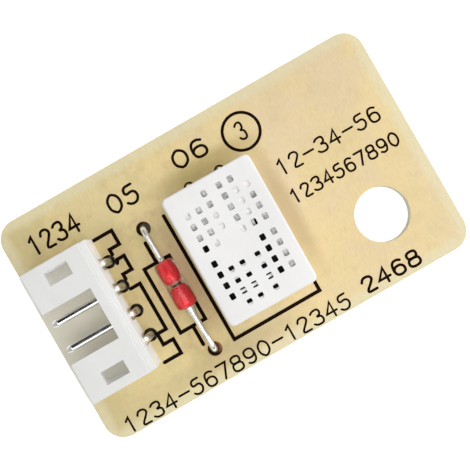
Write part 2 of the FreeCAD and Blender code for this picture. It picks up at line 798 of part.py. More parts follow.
def seat_thermistor_item(body, side, label):
    """Put a piece that is built round a thermistor wire's tail at that wire's place."""
    reach = "(%d * %s)" % (side, THERMISTOR_HALF)
    turn = "(Sizes.thermistor_turn * 1deg)"
    place(body,
          "Sizes.thermistor_x - %s * sin(%s)" % (reach, turn),
          "Sizes.thermistor_y + %s * cos(%s)" % (reach, turn),
          "0", "Sizes.thermistor_turn")
    return sub_part(body, label)


def sweep_wire(body, spine, radius, name):
    section = new_sketch(body, name, "XY_Plane")
    draw_circle(section, "0", "0", radius)
    pipe = body.newObject("PartDesign::AdditivePipe", name + "_swept")
    pipe.Profile = section
    pipe.Spine = spine
    doc.recompute()


def make_tack(side, name):
    """The solder that holds a sensor wire down on its pad: an arch over the wire."""
    _, _, _, high_y = element_box()
    x = "(%d * %s)" % (side, SENSOR_HALF)
    low = "(%s + Sizes.electrode_thickness)" % element_face()
    near = "(%s - Sizes.sensor_pad_length + Sizes.case_clearance)" % high_y
    lump = block("tack_block_" + name, "(%s - Sizes.tack_width / 2)" % x, "(%s + Sizes.tack_width / 2)" % x,
                 near, high_y, low, "(%s + Sizes.tack_height)" % low)
    groove = doc.addObject("Part::Cylinder", "tack_groove_" + name)
    bind(groove, {"Radius": "Sizes.sensor_wire_radius", "Height": "Sizes.sensor_pad_length"})
    groove.Placement = FreeCAD.Placement(FreeCAD.Vector(), WIRE_ALONG_Y)
    bind(groove, {"Placement.Base.x": x, "Placement.Base.y": near, "Placement.Base.z": wire_level()})
    under = block("tack_foot_" + name, "%s - Sizes.sensor_wire_radius" % x, "%s + Sizes.sensor_wire_radius" % x,
                  near, "%s + Sizes.sensor_pad_length" % near, low, wire_level())
    tack = cut("tack_shaped_" + name, lump, joined("tack_room_" + name, [groove, under]))
    at_sensor(tack)
    return sub_part(tack, "sensor_tack_" + name)


# The thermistor's pieces lie along its own axis, measured from the middle of its wires
GLASS_TOP = "(Sizes.glass_shift + Sizes.glass_length / 2)"
GLASS_BOTTOM = "(Sizes.glass_shift - Sizes.glass_length / 2)"
THERMISTOR_LEVEL = "(%s + Sizes.thermistor_height)" % BOARD_TOP


def make_glass():
    """The glass sleeve: closed round the wires at both ends, with the room for studs and chip inside."""
    body = new_body("glass")
    top_inside = "(%s - Sizes.stud_cover)" % GLASS_TOP
    bottom_inside = "(%s + Sizes.stud_cover)" % GLASS_BOTTOM
    neck = "(Sizes.glass_radius - Sizes.glass_round)"
    profile = new_sketch(body, "glass_profile", "XY_Plane")
    draw(profile, [
        ("Sizes.wire_radius", GLASS_BOTTOM),
        (neck, GLASS_BOTTOM),
        ("Sizes.glass_radius", "(%s + Sizes.glass_round)" % GLASS_BOTTOM),
        ("Sizes.glass_radius", "(%s - Sizes.glass_round)" % GLASS_TOP),
        (neck, GLASS_TOP),
        ("Sizes.wire_radius", GLASS_TOP),
        ("Sizes.wire_radius", top_inside),
        ("Sizes.stud_radius", top_inside),
        ("Sizes.stud_radius", bottom_inside),
        ("Sizes.wire_radius", bottom_inside),
    ], arcs={1: ("Sizes.glass_round", 1), 3: ("Sizes.glass_round", 1)})
    revolve(body, profile, "V_Axis")
    at_thermistor(body, THERMISTOR_LEVEL)
    return sub_part(body, "thermistor_glass")


def make_stud(side, name):
    """A red stud: a short bar that narrows towards the chip, between the chip and the wire's end."""
    body = new_body("stud_" + name)
    outer = "(%s - Sizes.stud_cover)" % GLASS_TOP if side > 0 else "(%s + Sizes.stud_cover)" % GLASS_BOTTOM
    inner = "(Sizes.glass_shift + %d * Sizes.chip_thickness / 2)" % side
    tip = "(Sizes.stud_radius - Sizes.stud_taper)"
    full = "(%s + %d * Sizes.stud_taper_length)" % (inner, side)
    profile = new_sketch(body, "stud_profile_" + name, "XY_Plane")
    draw(profile, [("0", inner), (tip, inner), ("Sizes.stud_radius", full),
                   ("Sizes.stud_radius", outer), ("0", outer)])
    revolve(body, profile, "V_Axis")
    at_thermistor(body, THERMISTOR_LEVEL)
    return sub_part(body, "thermistor_stud_" + name)


def make_chip():
    """The square chip held between the two studs."""
    half = "(Sizes.chip_side / 2)"
    thickness = "(Sizes.chip_thickness / 2)"
    plate = block("chip_plate", minus(half), half, "(Sizes.glass_shift - %s)" % thickness,
                  "(Sizes.glass_shift + %s)" % thickness, minus(half), half)
    chip = grouped("chip_placed", [plate])
    at_thermistor(chip, THERMISTOR_LEVEL)
    return sub_part(chip, "thermistor_chip")


def make_thermistor_wire(side, name):
    """A tinned wire: up from its trimmed tail, over a bend and along to its stud."""
    body = new_body("thermistor_wire_" + name)
    stud_end = GLASS_TOP if side > 0 else minus(GLASS_BOTTOM)
    inner_end = "(%d * (%s - Sizes.stud_cover - %s))" % (side, stud_end, THERMISTOR_HALF)
    bend_y = "(%d * Sizes.wire_bend)" % -side
    spine = new_sketch(body, "thermistor_wire_path_" + name, "YZ_Plane")
    draw(spine, [
        ("0", "0"),
        ("0", "(%s - Sizes.wire_bend)" % THERMISTOR_LEVEL),
        (bend_y, THERMISTOR_LEVEL),
        (inner_end, THERMISTOR_LEVEL),
    ], arcs={1: ("Sizes.wire_bend", side)}, closed=False)
    sweep_wire(body, spine, "Sizes.wire_radius", "thermistor_wire_section_" + name)
    if side < 0:
        add_weld(body, minus(GLASS_BOTTOM))
    return seat_thermistor_item(body, side, "thermistor_lead_" + name)


def add_weld(body, glass_end):
    """The small bead on the lower wire, just outside the glass, where it was welded to its stud."""
    near = "(%s - %s)" % (THERMISTOR_HALF, glass_end)
    far = "(%s - Sizes.weld_length)" % near
    bead = new_sketch(body, "weld_profile", "YZ_Plane")
    bead.setExpression("AttachmentOffset.Base.y", THERMISTOR_LEVEL)
    draw(bead, [(far, "0"), (near, "0")], arcs={1: ("Sizes.weld_curve", 1)})
    revolve(body, bead, "H_Axis")


def make_solder(label, seat, which, wire_radius=None):
    """A solder joint: a hollow-sided cone from the pad down a round wire's or a square pin's tail."""
    body = new_body(label + "_cone")
    top = "(%s - Sizes.copper_thickness)" % BOARD_BOTTOM
    tip = "(%s - Sizes.solder_height)" % top
    profile = new_sketch(body, label + "_profile", "XZ_Plane")
    draw(profile, [("0", tip), ("Sizes.solder_tip", tip), ("Sizes.solder_radius", top), ("0", top)],
         arcs={1: ("Sizes.solder_curve", -1)})
    revolve(body, profile, "V_Axis")
    hole = new_sketch(body, label + "_hole", "XY_Plane")
    if wire_radius is None:
        half = "(Sizes.pin_side / 2)"
        draw_box(hole, minus(half), half, minus(half), half)
    else:
        draw_circle(hole, "0", "0", wire_radius)
    pocket(body, hole, reverse=True)
    return seat(body, which, label)


make_laminate()
make_mask(make_copper())
make_housing()
for number in range(PIN_COUNT):
    make_pin(number)
    make_solder("solder_pin_%d" % (number + 1), seat_pin_item, number)
make_cover()
make_base()
make_element()
for side, name in ((-1, "left"), (1, "right")):
    make_sensor_wire(side, name)
    make_tack(side, name)
    make_solder("solder_sensor_" + name, seat_sensor_item, side, "Sizes.sensor_wire_radius")
make_glass()
make_chip()
for side, name in ((1, "upper"), (-1, "lower")):
    make_stud(side, name)
    make_thermistor_wire(side, name)
    make_solder("solder_thermistor_" + name, seat_thermistor_item, side, "Sizes.wire_radius")
doc.recompute()

for item in doc.Objects:
    if "Invalid" in item.State or "Error" in item.State:
        raise RuntimeError("%s (%s) failed" % (item.Label, item.Name))
for piece in pieces:
    if piece.Shape.isNull() or not piece.Shape.isValid() or not piece.Shape.Solids:
        raise RuntimeError(piece.Label + " has no valid shape")

os.makedirs("parts", exist_ok=True)
for piece in pieces:
    piece.Shape.exportStep("parts/%s.step" % piece.Label)
    box = piece.Shape.optimalBoundingBox()
    print("%-26s %d solid(s) volume %9.4f  x %7.2f %7.2f  y %7.2f %7.2f  z %6.2f %6.2f" % (
        piece.Label, len(piece.Shape.Solids), piece.Shape.Volume,
        box.XMin, box.XMax, box.YMin, box.YMax, box.ZMin, box.ZMax))
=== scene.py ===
import math

import bmesh
import bpy
from mathutils import Matrix, Vector


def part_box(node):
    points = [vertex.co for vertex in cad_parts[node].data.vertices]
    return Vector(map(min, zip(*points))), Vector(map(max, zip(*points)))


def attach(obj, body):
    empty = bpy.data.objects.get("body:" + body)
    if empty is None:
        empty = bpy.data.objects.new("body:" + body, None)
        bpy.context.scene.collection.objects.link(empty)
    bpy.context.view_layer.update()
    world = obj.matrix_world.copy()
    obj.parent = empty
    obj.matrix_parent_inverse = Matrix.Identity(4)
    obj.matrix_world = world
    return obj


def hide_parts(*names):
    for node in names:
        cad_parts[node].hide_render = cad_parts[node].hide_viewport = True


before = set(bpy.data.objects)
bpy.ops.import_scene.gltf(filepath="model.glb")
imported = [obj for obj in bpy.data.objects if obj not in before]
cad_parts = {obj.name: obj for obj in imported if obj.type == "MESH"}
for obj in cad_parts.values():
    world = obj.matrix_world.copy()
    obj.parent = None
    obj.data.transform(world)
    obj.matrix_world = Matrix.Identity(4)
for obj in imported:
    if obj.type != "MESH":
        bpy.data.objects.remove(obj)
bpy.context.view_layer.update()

# Board
# The board is a plate of paper laminate, punched from a sheet together with its fixing hole and its
# lead holes. Its top is bare and a little see-through, so the copper below tints it, and its edge
# shows the pressed layers. Shapes are made in millimetres and become metres when they are settled.

MILLIMETRE = 0.001
BOARD_CORNER = 1.9
BOARD_EDGE = 0.06
PUNCHED_EDGE = 0.04
FIXING_HOLE = (12.45, -5.0, 2.5)
LEAD_HOLE_RADIUS = {"pin": 0.6, "thermistor": 0.65, "sensor": 0.5}
PUNCH_REACH = 4.0
FACE_TILT = 0.6
OLIVE_TO_TAN = (-14.0, 10.0)
MOTTLED_TO_PLAIN = (-4.0, 8.0)
PALE_RIM = (0.7, 1.6)
RIM_WANDER = 0.5
LEAST_ROUND = 0.01
FULL_ROUND = 0.5
# Darker patches on the face, each a centre and size in millimetres, a soft rim, a tone and a share. The
# first four are painted shade beside the sensor case, the thermistor and the header; the last three are
# darker tone at the board's lower edge and left corners.
SHADE_AND_DARK_PATCHES = (
    ((-5.4, -1.2), (0.9, 4.6), 0.6, (190, 138, 112), 0.3),
    ((-9.9, 4.6), (1.3, 2.0), 0.6, (172, 150, 104), 0.4),
    ((0.8, 6.7), (4.3, 0.95), 0.6, (170, 150, 84), 0.55),
    ((5.4, 0.0), (0.8, 5.5), 0.7, (184, 158, 116), 0.6),
    ((-5.0, -8.9), (5.5, 1.0), 0.6, (190, 170, 128), 0.6),
    ((-16.5, -9.0), (5.0, 2.2), 0.6, (196, 178, 132), 0.5),
    ((-18.0, 8.5), (3.4, 3.2), 0.6, (196, 180, 136), 0.5),
)
JOINTS = ("pin_1", "pin_2", "pin_3", "pin_4", "thermistor_upper", "thermistor_lower",
          "sensor_left", "sensor_right")


def tone(red, green, blue):
    """A colour written as a screen shows it, 0 to 255, as a shader's socket takes it."""
    return tuple((part / 255) ** 2.2 for part in (red, green, blue)) + (1.0,)


def add(tree, kind, inputs=None, **settings):
    """A new node. Each input is a value or another node's output."""
    made = tree.nodes.new(kind)
    for name, setting in settings.items():
        setattr(made, name, setting)
    for socket, given in (inputs or {}).items():
        if isinstance(given, bpy.types.NodeSocket):
            tree.links.new(given, made.inputs[socket])
        else:
            made.inputs[socket].default_value = given
    return made


def finish(name, values=None):
    """A material with its surface's plain values set; its pattern is wired in after it."""
    material = bpy.data.materials.new(name)
    material.use_nodes = True
    surface = material.node_tree.nodes["Principled BSDF"]
    for socket, value in (values or {}).items():
        surface.inputs[socket].default_value = value
    return material, material.node_tree, surface


def place_in(tree):
    """The point on the piece, in metres."""
    return add(tree, "ShaderNodeTexCoord").outputs["Object"]


def axes_of(tree, where):
    """The X, Y and Z of a point or a direction."""
    return add(tree, "ShaderNodeSeparateXYZ", {0: where}).outputs


def stretched(tree, where, x, y, z):
    """The point with each direction scaled, for a pattern that is drawn out."""
    return add(tree, "ShaderNodeMapping", {"Vector": where, "Scale": (x, y, z)}).outputs[0]


def grain(tree, where, size, detail=2.0, roughness=0.5):
    """Cloudy noise whose blots are about this many millimetres across."""
    return add(tree, "ShaderNodeTexNoise", {
        "Vector": where, "Scale": 1 / (size * MILLIMETRE), "Detail": detail, "Roughness": roughness,
    }).outputs[0]


def maths(tree, operation, first, second=0.0, third=0.0):
    """One sum."""
    return add(tree, "ShaderNodeMath", {0: first, 1: second, 2: third}, operation=operation).outputs[0]


def eased(tree, value, start, end, low=0.0, high=1.0):
    """A soft step from low to high as the value goes from start to end."""
    return add(tree, "ShaderNodeMapRange", {
        "Value": value, "From Min": start, "From Max": end, "To Min": low, "To Max": high,
    }, interpolation_type="SMOOTHSTEP").outputs[0]


def faded(tree, place, start, end, low=0.0, high=1.0):
    """A soft step from low to high between two places, given in millimetres."""
    return eased(tree, place, start * MILLIMETRE, end * MILLIMETRE, low, high)


def mixed(tree, share, first, second):
    """Two colours mixed by a share."""
    return add(tree, "ShaderNodeMix", {0: share, 6: first, 7: second}, data_type="RGBA").outputs[2]


def relief(tree, surface, height, depth):
    """Small unevenness, in millimetres, on a surface."""
    bump = add(tree, "ShaderNodeBump", {"Height": height, "Strength": 1.0, "Distance": depth * MILLIMETRE})
    tree.links.new(bump.outputs[0], surface.inputs["Normal"])


def clouded(name, values, tones, size, steps=(0.3, 0.7), detail=3.0, coarse=0.5, drawn=(1, 1, 1),
            depth=0.0, fine=None):
    """A finish that turns softly from one tone to another in blots, which may be drawn out. Its relief
    follows the blots, or a fine grain of its own."""
    material, tree, surface = finish(name, values)
    where = place_in(tree)
    blots = grain(tree, stretched(tree, where, *drawn), size, detail, coarse)
    tree.links.new(mixed(tree, eased(tree, blots, *steps), *tones), surface.inputs["Base Color"])
    if depth:
        relief(tree, surface, grain(tree, where, fine) if fine else blots, depth)
    return material


def linked(name, data):
    """A new object in the scene."""
    made = bpy.data.objects.new(name, data)
    bpy.context.scene.collection.objects.link(made)
    return made


def drafted(name, points, edges=(), faces=()):
    """A new object from points, edges and faces."""
    mesh = bpy.data.meshes.new(name)
    mesh.from_pydata(points, edges, faces)
    return linked(name, mesh)


def skin(name, loops):
    """A closed shell through loops of points, capped at both ends."""
    shell = bmesh.new()
    rings = [[shell.verts.new(point) for point in loop] for loop in loops]
    for near, far in zip(rings, rings[1:]):
        for number in range(len(near)):
            after = (number + 1) % len(near)
            shell.faces.new((near[number], near[after], far[after], far[number]))
    shell.faces.new(rings[0])
    shell.faces.new(rings[-1])
    bmesh.ops.recalc_face_normals(shell, faces=shell.faces)
    mesh = bpy.data.meshes.new(name)
    shell.to_mesh(mesh)
    shell.free()
    mesh.shade_smooth()
    return linked(name, mesh)


def plate_loop(low, high, corner, z, inset=0.0, steps=10):
    """A rectangle with round corners at a height, drawn in by an inset."""
    radius = max(corner - inset, LEAST_ROUND)
    reach = inset + radius
    centres = ((high[0] - reach, high[1] - reach), (low[0] + reach, high[1] - reach),
               (low[0] + reach, low[1] + reach), (high[0] - reach, low[1] + reach))
    points = []
    for number, (x, y) in enumerate(centres):
        for step in range(steps + 1):
            angle = math.radians(90) * (number + step / steps)
            points.append((x + radius * math.cos(angle), y + radius * math.sin(angle), z))
    return points


def edge_steps(edge, steps=3):
    """Inset and drop along a rounded edge, from the side face to the flat face."""
    angles = [math.radians(90) * step / steps for step in range(steps + 1)]
    return [(edge * (1 - math.cos(angle)), edge * (1 - math.sin(angle))) for angle in angles]


def plate(name, low, high, corner, edge):
    """A plate with round corners and rounded upper and lower edges."""
    curve = edge_steps(edge)
    loops = [plate_loop(low, high, corner, low[2] + drop, inset) for inset, drop in reversed(curve)]
    loops += [plate_loop(low, high, corner, high[2] - drop, inset) for inset, drop in curve]
    return skin(name, loops)


def new_tree(name, **sockets):
    """An empty Geometry Nodes tree with named inputs."""
    tree = bpy.data.node_groups.new(name, "GeometryNodeTree")
    for title, kind in {"Geometry": "Geometry", **sockets}.items():
        tree.interface.new_socket(title, in_out="INPUT", socket_type="NodeSocket" + kind)
    tree.interface.new_socket("Geometry", in_out="OUTPUT", socket_type="NodeSocketGeometry")
    return tree, add(tree, "NodeGroupInput").outputs


def make(tree, kind, inputs=None, out=0, **settings):
    """A step of a Geometry Nodes tree, given by one of its outputs."""
    return add(tree, "GeometryNode" + kind, inputs, **settings).outputs[out]


def end_tree(tree, geometry, material):
    """Ends a tree with its copies made real and in their material."""
    solid = make(tree, "RealizeInstances", {"Geometry": geometry})
    add(tree, "NodeGroupOutput", {
        "Geometry": make(tree, "SetMaterial", {"Geometry": solid, "Material": material}),
    })
    return tree


def run_tree(maker, tree, values):
    """Puts a tree on a maker, with its inputs set by their identifiers."""
    modifier = maker.modifiers.new(tree.name, "NODES")
    modifier.node_group = tree
    for item in tree.interface.items_tree:
        if item.in_out == "INPUT" and item.name in values:
            modifier[item.identifier] = values[item.name]


def punch_tree():
    """Cuts a hole at every point, and gives the holes' walls their own material."""
    tree, given = new_tree("Punched holes", Places="Object", Cutter="Object", Wall="Material")
    places = make(tree, "ObjectInfo", {"Object": given["Places"]}, "Geometry")
    cutter = make(tree, "ObjectInfo", {"Object": given["Cutter"]}, "Geometry")
    size = make(tree, "InputNamedAttribute", {"Name": "cut"}, data_type="FLOAT_VECTOR")
    copies = make(tree, "InstanceOnPoints", {"Points": places, "Instance": cutter, "Scale": size})
    solid = make(tree, "RealizeInstances", {"Geometry": copies})
    walled = make(tree, "SetMaterial", {"Geometry": solid, "Material": given["Wall"]})
    punched = make(tree, "MeshBoolean", {"Mesh 1": given["Geometry"], "Mesh 2": walled},
                   operation="DIFFERENCE", solver="EXACT")
    add(tree, "NodeGroupOutput", {"Geometry": punched})
    return tree


PUNCH = punch_tree()
helpers = []


def unit_cutter(name, corner, steps):
    """A punch one millimetre across with round corners."""
    cutter = skin(name, [plate_loop((-0.5, -0.5), (0.5, 0.5), corner, z, steps=steps) for z in (-0.5, 0.5)])
    helpers.append(cutter)
    return cutter


def punch(maker, name, holes, cutter, wall):
    """Cuts holes through a maker: each has a centre and its size across, along and through."""
    points = drafted(name, [centre for centre, _ in holes])
    sizes = points.data.attributes.new("cut", "FLOAT_VECTOR", "POINT")
    for number, (_, size) in enumerate(holes):
        sizes.data[number].vector = size
    helpers.append(points)
    run_tree(maker, PUNCH, {"Places": points, "Cutter": cutter, "Wall": wall})


def soften(maker, width, angle, steps=2):
    """Rounds the edges that are sharper than an angle."""
    bevel = maker.modifiers.new("Edges", "BEVEL")
    bevel.width = width
    bevel.segments = steps
    bevel.limit_method = "ANGLE"
    bevel.angle_limit = math.radians(angle)
    bevel.harden_normals = True


def settle(maker, name, turn=None):
    """The maker with its modifiers applied, in metres and in its place, as a plain piece."""
    bpy.context.view_layer.update()
    seen = maker.evaluated_get(bpy.context.evaluated_depsgraph_get())
    mesh = bpy.data.meshes.new_from_object(seen)
    bpy.data.objects.remove(maker)
    for helper in helpers:
        bpy.data.objects.remove(helper)
    helpers.clear()
    mesh.transform(Matrix.Scale(MILLIMETRE, 4) @ (turn or Matrix.Identity(4)))
    return linked(name, mesh)


def box_of(node):
    """A node's lowest and highest corners, in millimetres."""
    return [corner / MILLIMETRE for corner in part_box(node)]


board_low, board_high = box_of("board_laminate")
joint_places = {joint: sum(box_of("solder_" + joint), Vector()) / 2 for joint in JOINTS}


def round_hole(x, y, z, radius):
    """A round hole for the punch."""
    return (x, y, z), (2 * radius, 2 * radius, PUNCH_REACH)


def joint_holes(level, radii):
    """A round hole at each solder joint, as wide as its kind of lead needs."""
    return [round_hole(at.x, at.y, level, radii[joint.split("_")[0]]) for joint, at in joint_places.items()]


def patch(tree, where, centre, size, soft):
    """How far a point is inside an oval patch, given in millimetres; it fades out over its soft rim."""
    scale = (1 / size[0] / MILLIMETRE, 1 / size[1] / MILLIMETRE, 0)
    shift = (-centre[0] / size[0], -centre[1] / size[1], 0)
    moved = add(tree, "ShaderNodeVectorMath", {0: where, 1: scale, 2: shift}, operation="MULTIPLY_ADD")
    away = add(tree, "ShaderNodeVectorMath", {0: moved.outputs[0]}, operation="LENGTH")
    return eased(tree, away.outputs["Value"], 1 - soft, 1 + soft, 1.0, 0.0)


def laminate_face():
    """Bare resin-soaked paper: clouded tan, olive towards the header's end, with a paler rim where no
    copper lies below, painted shade beside the sensor case, the thermistor and the header, and
    darker patches at the lower edge and left corners."""
    material, tree, surface = finish("laminate face", {"Roughness": 0.5, "Specular IOR Level": 0.3})
    where = place_in(tree)
    axes = axes_of(tree, where)
    colour = mixed(tree, faded(tree, axes["X"], *OLIVE_TO_TAN), tone(225, 208, 153), tone(230, 208, 168))
    clouds = eased(tree, grain(tree, where, 5.0, 3.0), 0.40, 0.62, 0.0, 0.55)
    colour = mixed(tree, clouds, colour, tone(238, 214, 150))
    mottled = faded(tree, axes["X"], *MOTTLED_TO_PLAIN, 1.0, 0.35)
    olive = eased(tree, grain(tree, stretched(tree, where, 1, 0.7, 1), 2.6, 4.0, 0.6), 0.46, 0.66, 0.0, 0.5)
    colour = mixed(tree, maths(tree, "MULTIPLY", olive, mottled), colour, tone(203, 190, 132))
    warm = eased(tree, grain(tree, stretched(tree, where, 0.8, 1, 1), 1.5, 4.0, 0.65), 0.50, 0.72, 0.0, 0.45)
    colour = mixed(tree, maths(tree, "MULTIPLY", warm, mottled), colour, tone(202, 166, 128))
    # Painted shade beside the case, thermistor and header, and darker tone near the board's edges.
    for centre, size, soft, patch_tone, share in SHADE_AND_DARK_PATCHES:
        inside = patch(tree, where, centre, size, soft)
        colour = mixed(tree, maths(tree, "MULTIPLY", inside, share), colour, tone(*patch_tone))
    across = maths(tree, "SUBTRACT", board_high.x * MILLIMETRE, maths(tree, "ABSOLUTE", axes["X"]))
    along = maths(tree, "SUBTRACT", board_high.y * MILLIMETRE, maths(tree, "ABSOLUTE", axes["Y"]))
    wander = maths(tree, "MULTIPLY", grain(tree, where, 1.2), RIM_WANDER * MILLIMETRE)
    from_edge = maths(tree, "ADD", maths(tree, "MINIMUM", across, along), wander)
    colour = mixed(tree, faded(tree, from_edge, *PALE_RIM, 0.7, 0.0), colour, tone(229, 221, 184))
    fibres = grain(tree, stretched(tree, where, 1, 0.25, 1), 0.12, 3.0, 0.7)
    colour = mixed(tree, eased(tree, fibres, 0.3, 0.8, 0.0, 0.24), colour, tone(190, 166, 120))
    tree.links.new(colour, surface.inputs["Base Color"])
    relief(tree, surface, fibres, 0.004)
    return material


def laminate_edge(name, shade, pale):
    """The punched edge: paler than the face, with the paper's layers and torn fibres."""
    return clouded(name, {"Roughness": 0.75}, (shade, pale), 0.16, coarse=0.6, drawn=(0.12, 0.12, 1),
                   depth=0.03)


edge_finish = laminate_edge("laminate edge", tone(214, 196, 154), tone(232, 219, 184))
# The fixing hole's wall is painted paler than the board's edge: painted light against the shade in the hole.
hole_wall_lightened = laminate_edge("fixing hole wall", tone(232, 222, 198), tone(250, 245, 230))
# The lead holes' walls are painted dark brown: painted shade inside the holes.
lead_hole_shade = clouded("lead hole wall in painted shade", {"Roughness": 0.6}, (tone(104, 76, 48), tone(142, 110, 76)), 0.35,
                   (0.35, 0.7))
maker = plate("board maker", board_low, board_high, BOARD_CORNER, BOARD_EDGE)
maker.data.materials.append(laminate_face())
maker.data.materials.append(edge_finish)
for face in maker.data.polygons:
    face.material_index = 1 if abs(face.normal.z) < FACE_TILT else 0
hole_x, hole_y, hole_radius = FIXING_HOLE
board_middle = (board_low.z + board_high.z) / 2
punch(maker, "fixing hole", [round_hole(hole_x, hole_y, board_middle, hole_radius)],
      unit_cutter("wide punch", FULL_ROUND, steps=16), hole_wall_lightened)
punch(maker, "lead holes", joint_holes(board_middle, LEAD_HOLE_RADIUS),
      unit_cutter("lead punch", FULL_ROUND, steps=8), lead_hole_shade)
soften(maker, PUNCHED_EDGE, angle=60)
board = settle(maker, "board")
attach(board, "root")
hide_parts("board_laminate")

# Copper and solder mask
# The copper is foil, etched into four areas, one for each header pin. The mask is a green lacquer
# over the whole underside: it stands a little higher where it runs over the copper, and each pad
# stays open for its solder.

MASK_INSET = 0.12
MASK_LEVEL = 1.562
MASK_LOWEST = 1.541
MASK_EDGE = 0.008
MASK_APART = 0.0005
PAD_RADIUS = {"pin": 1.02, "thermistor": 1.2, "sensor": 1.2}
MASK_RING = 0.4
MERGED_WITHIN = 0.002
FLAT_WITHIN = 0.5


def copy_of(node):
    """A node's mesh in millimetres, with its loose triangles joined and its flat faces made whole."""
    shape = bmesh.new()
    shape.from_mesh(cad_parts[node].data)
    bmesh.ops.scale(shape, vec=[1 / MILLIMETRE] * 3, verts=shape.verts)
    bmesh.ops.remove_doubles(shape, verts=shape.verts, dist=MERGED_WITHIN)
    bmesh.ops.dissolve_limit(shape, angle_limit=math.radians(FLAT_WITHIN), verts=shape.verts,
                             edges=shape.edges)
    mesh = bpy.data.meshes.new(node + " copy")
    shape.to_mesh(mesh)
    shape.free()
    if "custom_normal" in mesh.attributes:
        mesh.attributes.remove(mesh.attributes["custom_normal"])
    mesh.materials.clear()
    mesh.shade_smooth()
    return mesh


def dress(node, material):
    """Gives a node its material and a slot for it."""
    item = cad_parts[node]
    if not item.material_slots:
        item.data.materials.append(material)
    for held in item.material_slots:
        held.material = material


def copper_foil():
    """Rolled foil, dulled where flux has run over it."""
    material, tree, surface = finish("copper foil", {"Metallic": 1.0})
    where = place_in(tree)
    rolled = grain(tree, stretched(tree, where, 0.15, 1, 1), 0.12, 2.0)
    dulled = grain(tree, where, 1.4, 3.0)
    colour = mixed(tree, eased(tree, dulled, 0.35, 0.7), tone(222, 156, 116), tone(168, 104, 70))
    tree.links.new(colour, surface.inputs["Base Color"])
    tree.links.new(eased(tree, rolled, 0.2, 0.8, 0.28, 0.5), surface.inputs["Roughness"])
    return material


def lacquer(name, thin, thick):
    """Glossy green lacquer with the orange peel of a screened coat."""
    return clouded(name, {"Roughness": 0.22, "Coat Weight": 0.4}, (thin, thick), 2.2, depth=0.006, fine=0.35)


foil = copper_foil()
over_paper = lacquer("lacquer over paper", tone(38, 84, 46), tone(30, 70, 38))
over_copper = lacquer("lacquer over copper", tone(58, 124, 62), tone(50, 110, 54))
film_low = board_low + Vector((MASK_INSET, MASK_INSET, MASK_LEVEL - board_low.z))
film_high = Vector((board_high.x - MASK_INSET, board_high.y - MASK_INSET, board_low.z))
maker = plate("mask maker", film_low, film_high, BOARD_CORNER - MASK_INSET, MASK_EDGE)
maker.data.materials.append(over_paper)
maker.data.materials.append(over_copper)
film = bmesh.new()
film.from_mesh(maker.data)
for number in range(1, 5):
    node = "copper_net_%d" % number
    dress(node, foil)
    area = copy_of(node)
    low, high = box_of(node)
    for point in area.vertices:
        height = (point.co.z - low.z) / (high.z - low.z)
        point.co.z = MASK_LOWEST + height * (MASK_LEVEL - MASK_APART - MASK_LOWEST)
    first = len(film.faces)
    film.from_mesh(area)
    film.faces.ensure_lookup_table()
    for face in film.faces[first:]:
        face.material_index = 1
film.to_mesh(maker.data)
film.free()
openings = joint_holes(board_low.z, PAD_RADIUS)
openings.append(round_hole(hole_x, hole_y, board_low.z, hole_radius + MASK_RING))
punch(maker, "mask openings", openings, unit_cutter("screen opening", FULL_ROUND, steps=12), over_paper)
mask = settle(maker, "solder_mask_film")
mask.data.shade_flat()
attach(mask, "root")
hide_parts("solder_mask")

# Printing
# Brown-black ink, screened on the bare top: the outline of each component, a ring, and plain
# numbers. The print lies a fraction of a millimetre off the holes, as it does on the real board.

INK_THICKNESS = 0.02
INK_SUNK = 0.006
LINE = 0.33
RING = (5.2, 7.7, 1.7)
RING_LINE = 0.27
RING_STEPS = 48
OUTLINES = (
    ((-11.2, 5.8), (-9.25, 5.8), (-9.25, 4.4), (-10.25, 4.4), (-10.25, 3.9)),
    ((-10.25, 3.0), (-10.1, 3.3), (-9.4, 3.3), (-9.4, 1.9), (-10.3, 1.9), (-10.3, 1.4)),
    ((-10.35, 0.43), (-9.4, 0.43), (-9.4, -4.25), (-10.3, -4.25), (-10.3, -5.35),
     (-9.3, -5.35), (-9.3, -6.78), (-11.0, -6.78)),
    ((-7.2, 3.3), (-7.2, 1.3)),
    ((-7.2, -5.2), (-7.2, -7.1)),
    ((-4.57, 4.6), (-4.57, -8.1), (4.2, -8.1), (4.2, -7.2)),
)
THERMISTOR_BOX = ((-8.45, 1.3), (-5.9, 1.3), (-5.9, -5.2), (-8.45, -5.2))
NUMBERS = (
    ("12-34-56", 6.2, 16.7, 2.35, 3.9),
    ("1234567890", 6.0, 17.1, -0.4, 1.0),
    ("1234-567890-12345", -17.0, 6.1, -10.85, -9.3),
    ("3", 4.75, 5.6, 6.85, 8.65),
)
LABELS = (
    ("1234", -16.5, -11.4, 7.1, 9.0),
    ("05", -8.5, -5.5, 6.8, 8.7),
    ("06", -1.5, 1.9, 7.4, 9.2),
    ("2468", 7.6, 13.5, -10.6, -9.0),
)
NUMBER_LINE = 0.19
LABEL_LINE = 0.24
GLYPH_HEIGHT = 6.0
GLYPH_STEP = 5.8
GLYPH_WIDTH = 4.0
LINE_END_SHARE = 0.94
MITRE_LIMIT = 2.0
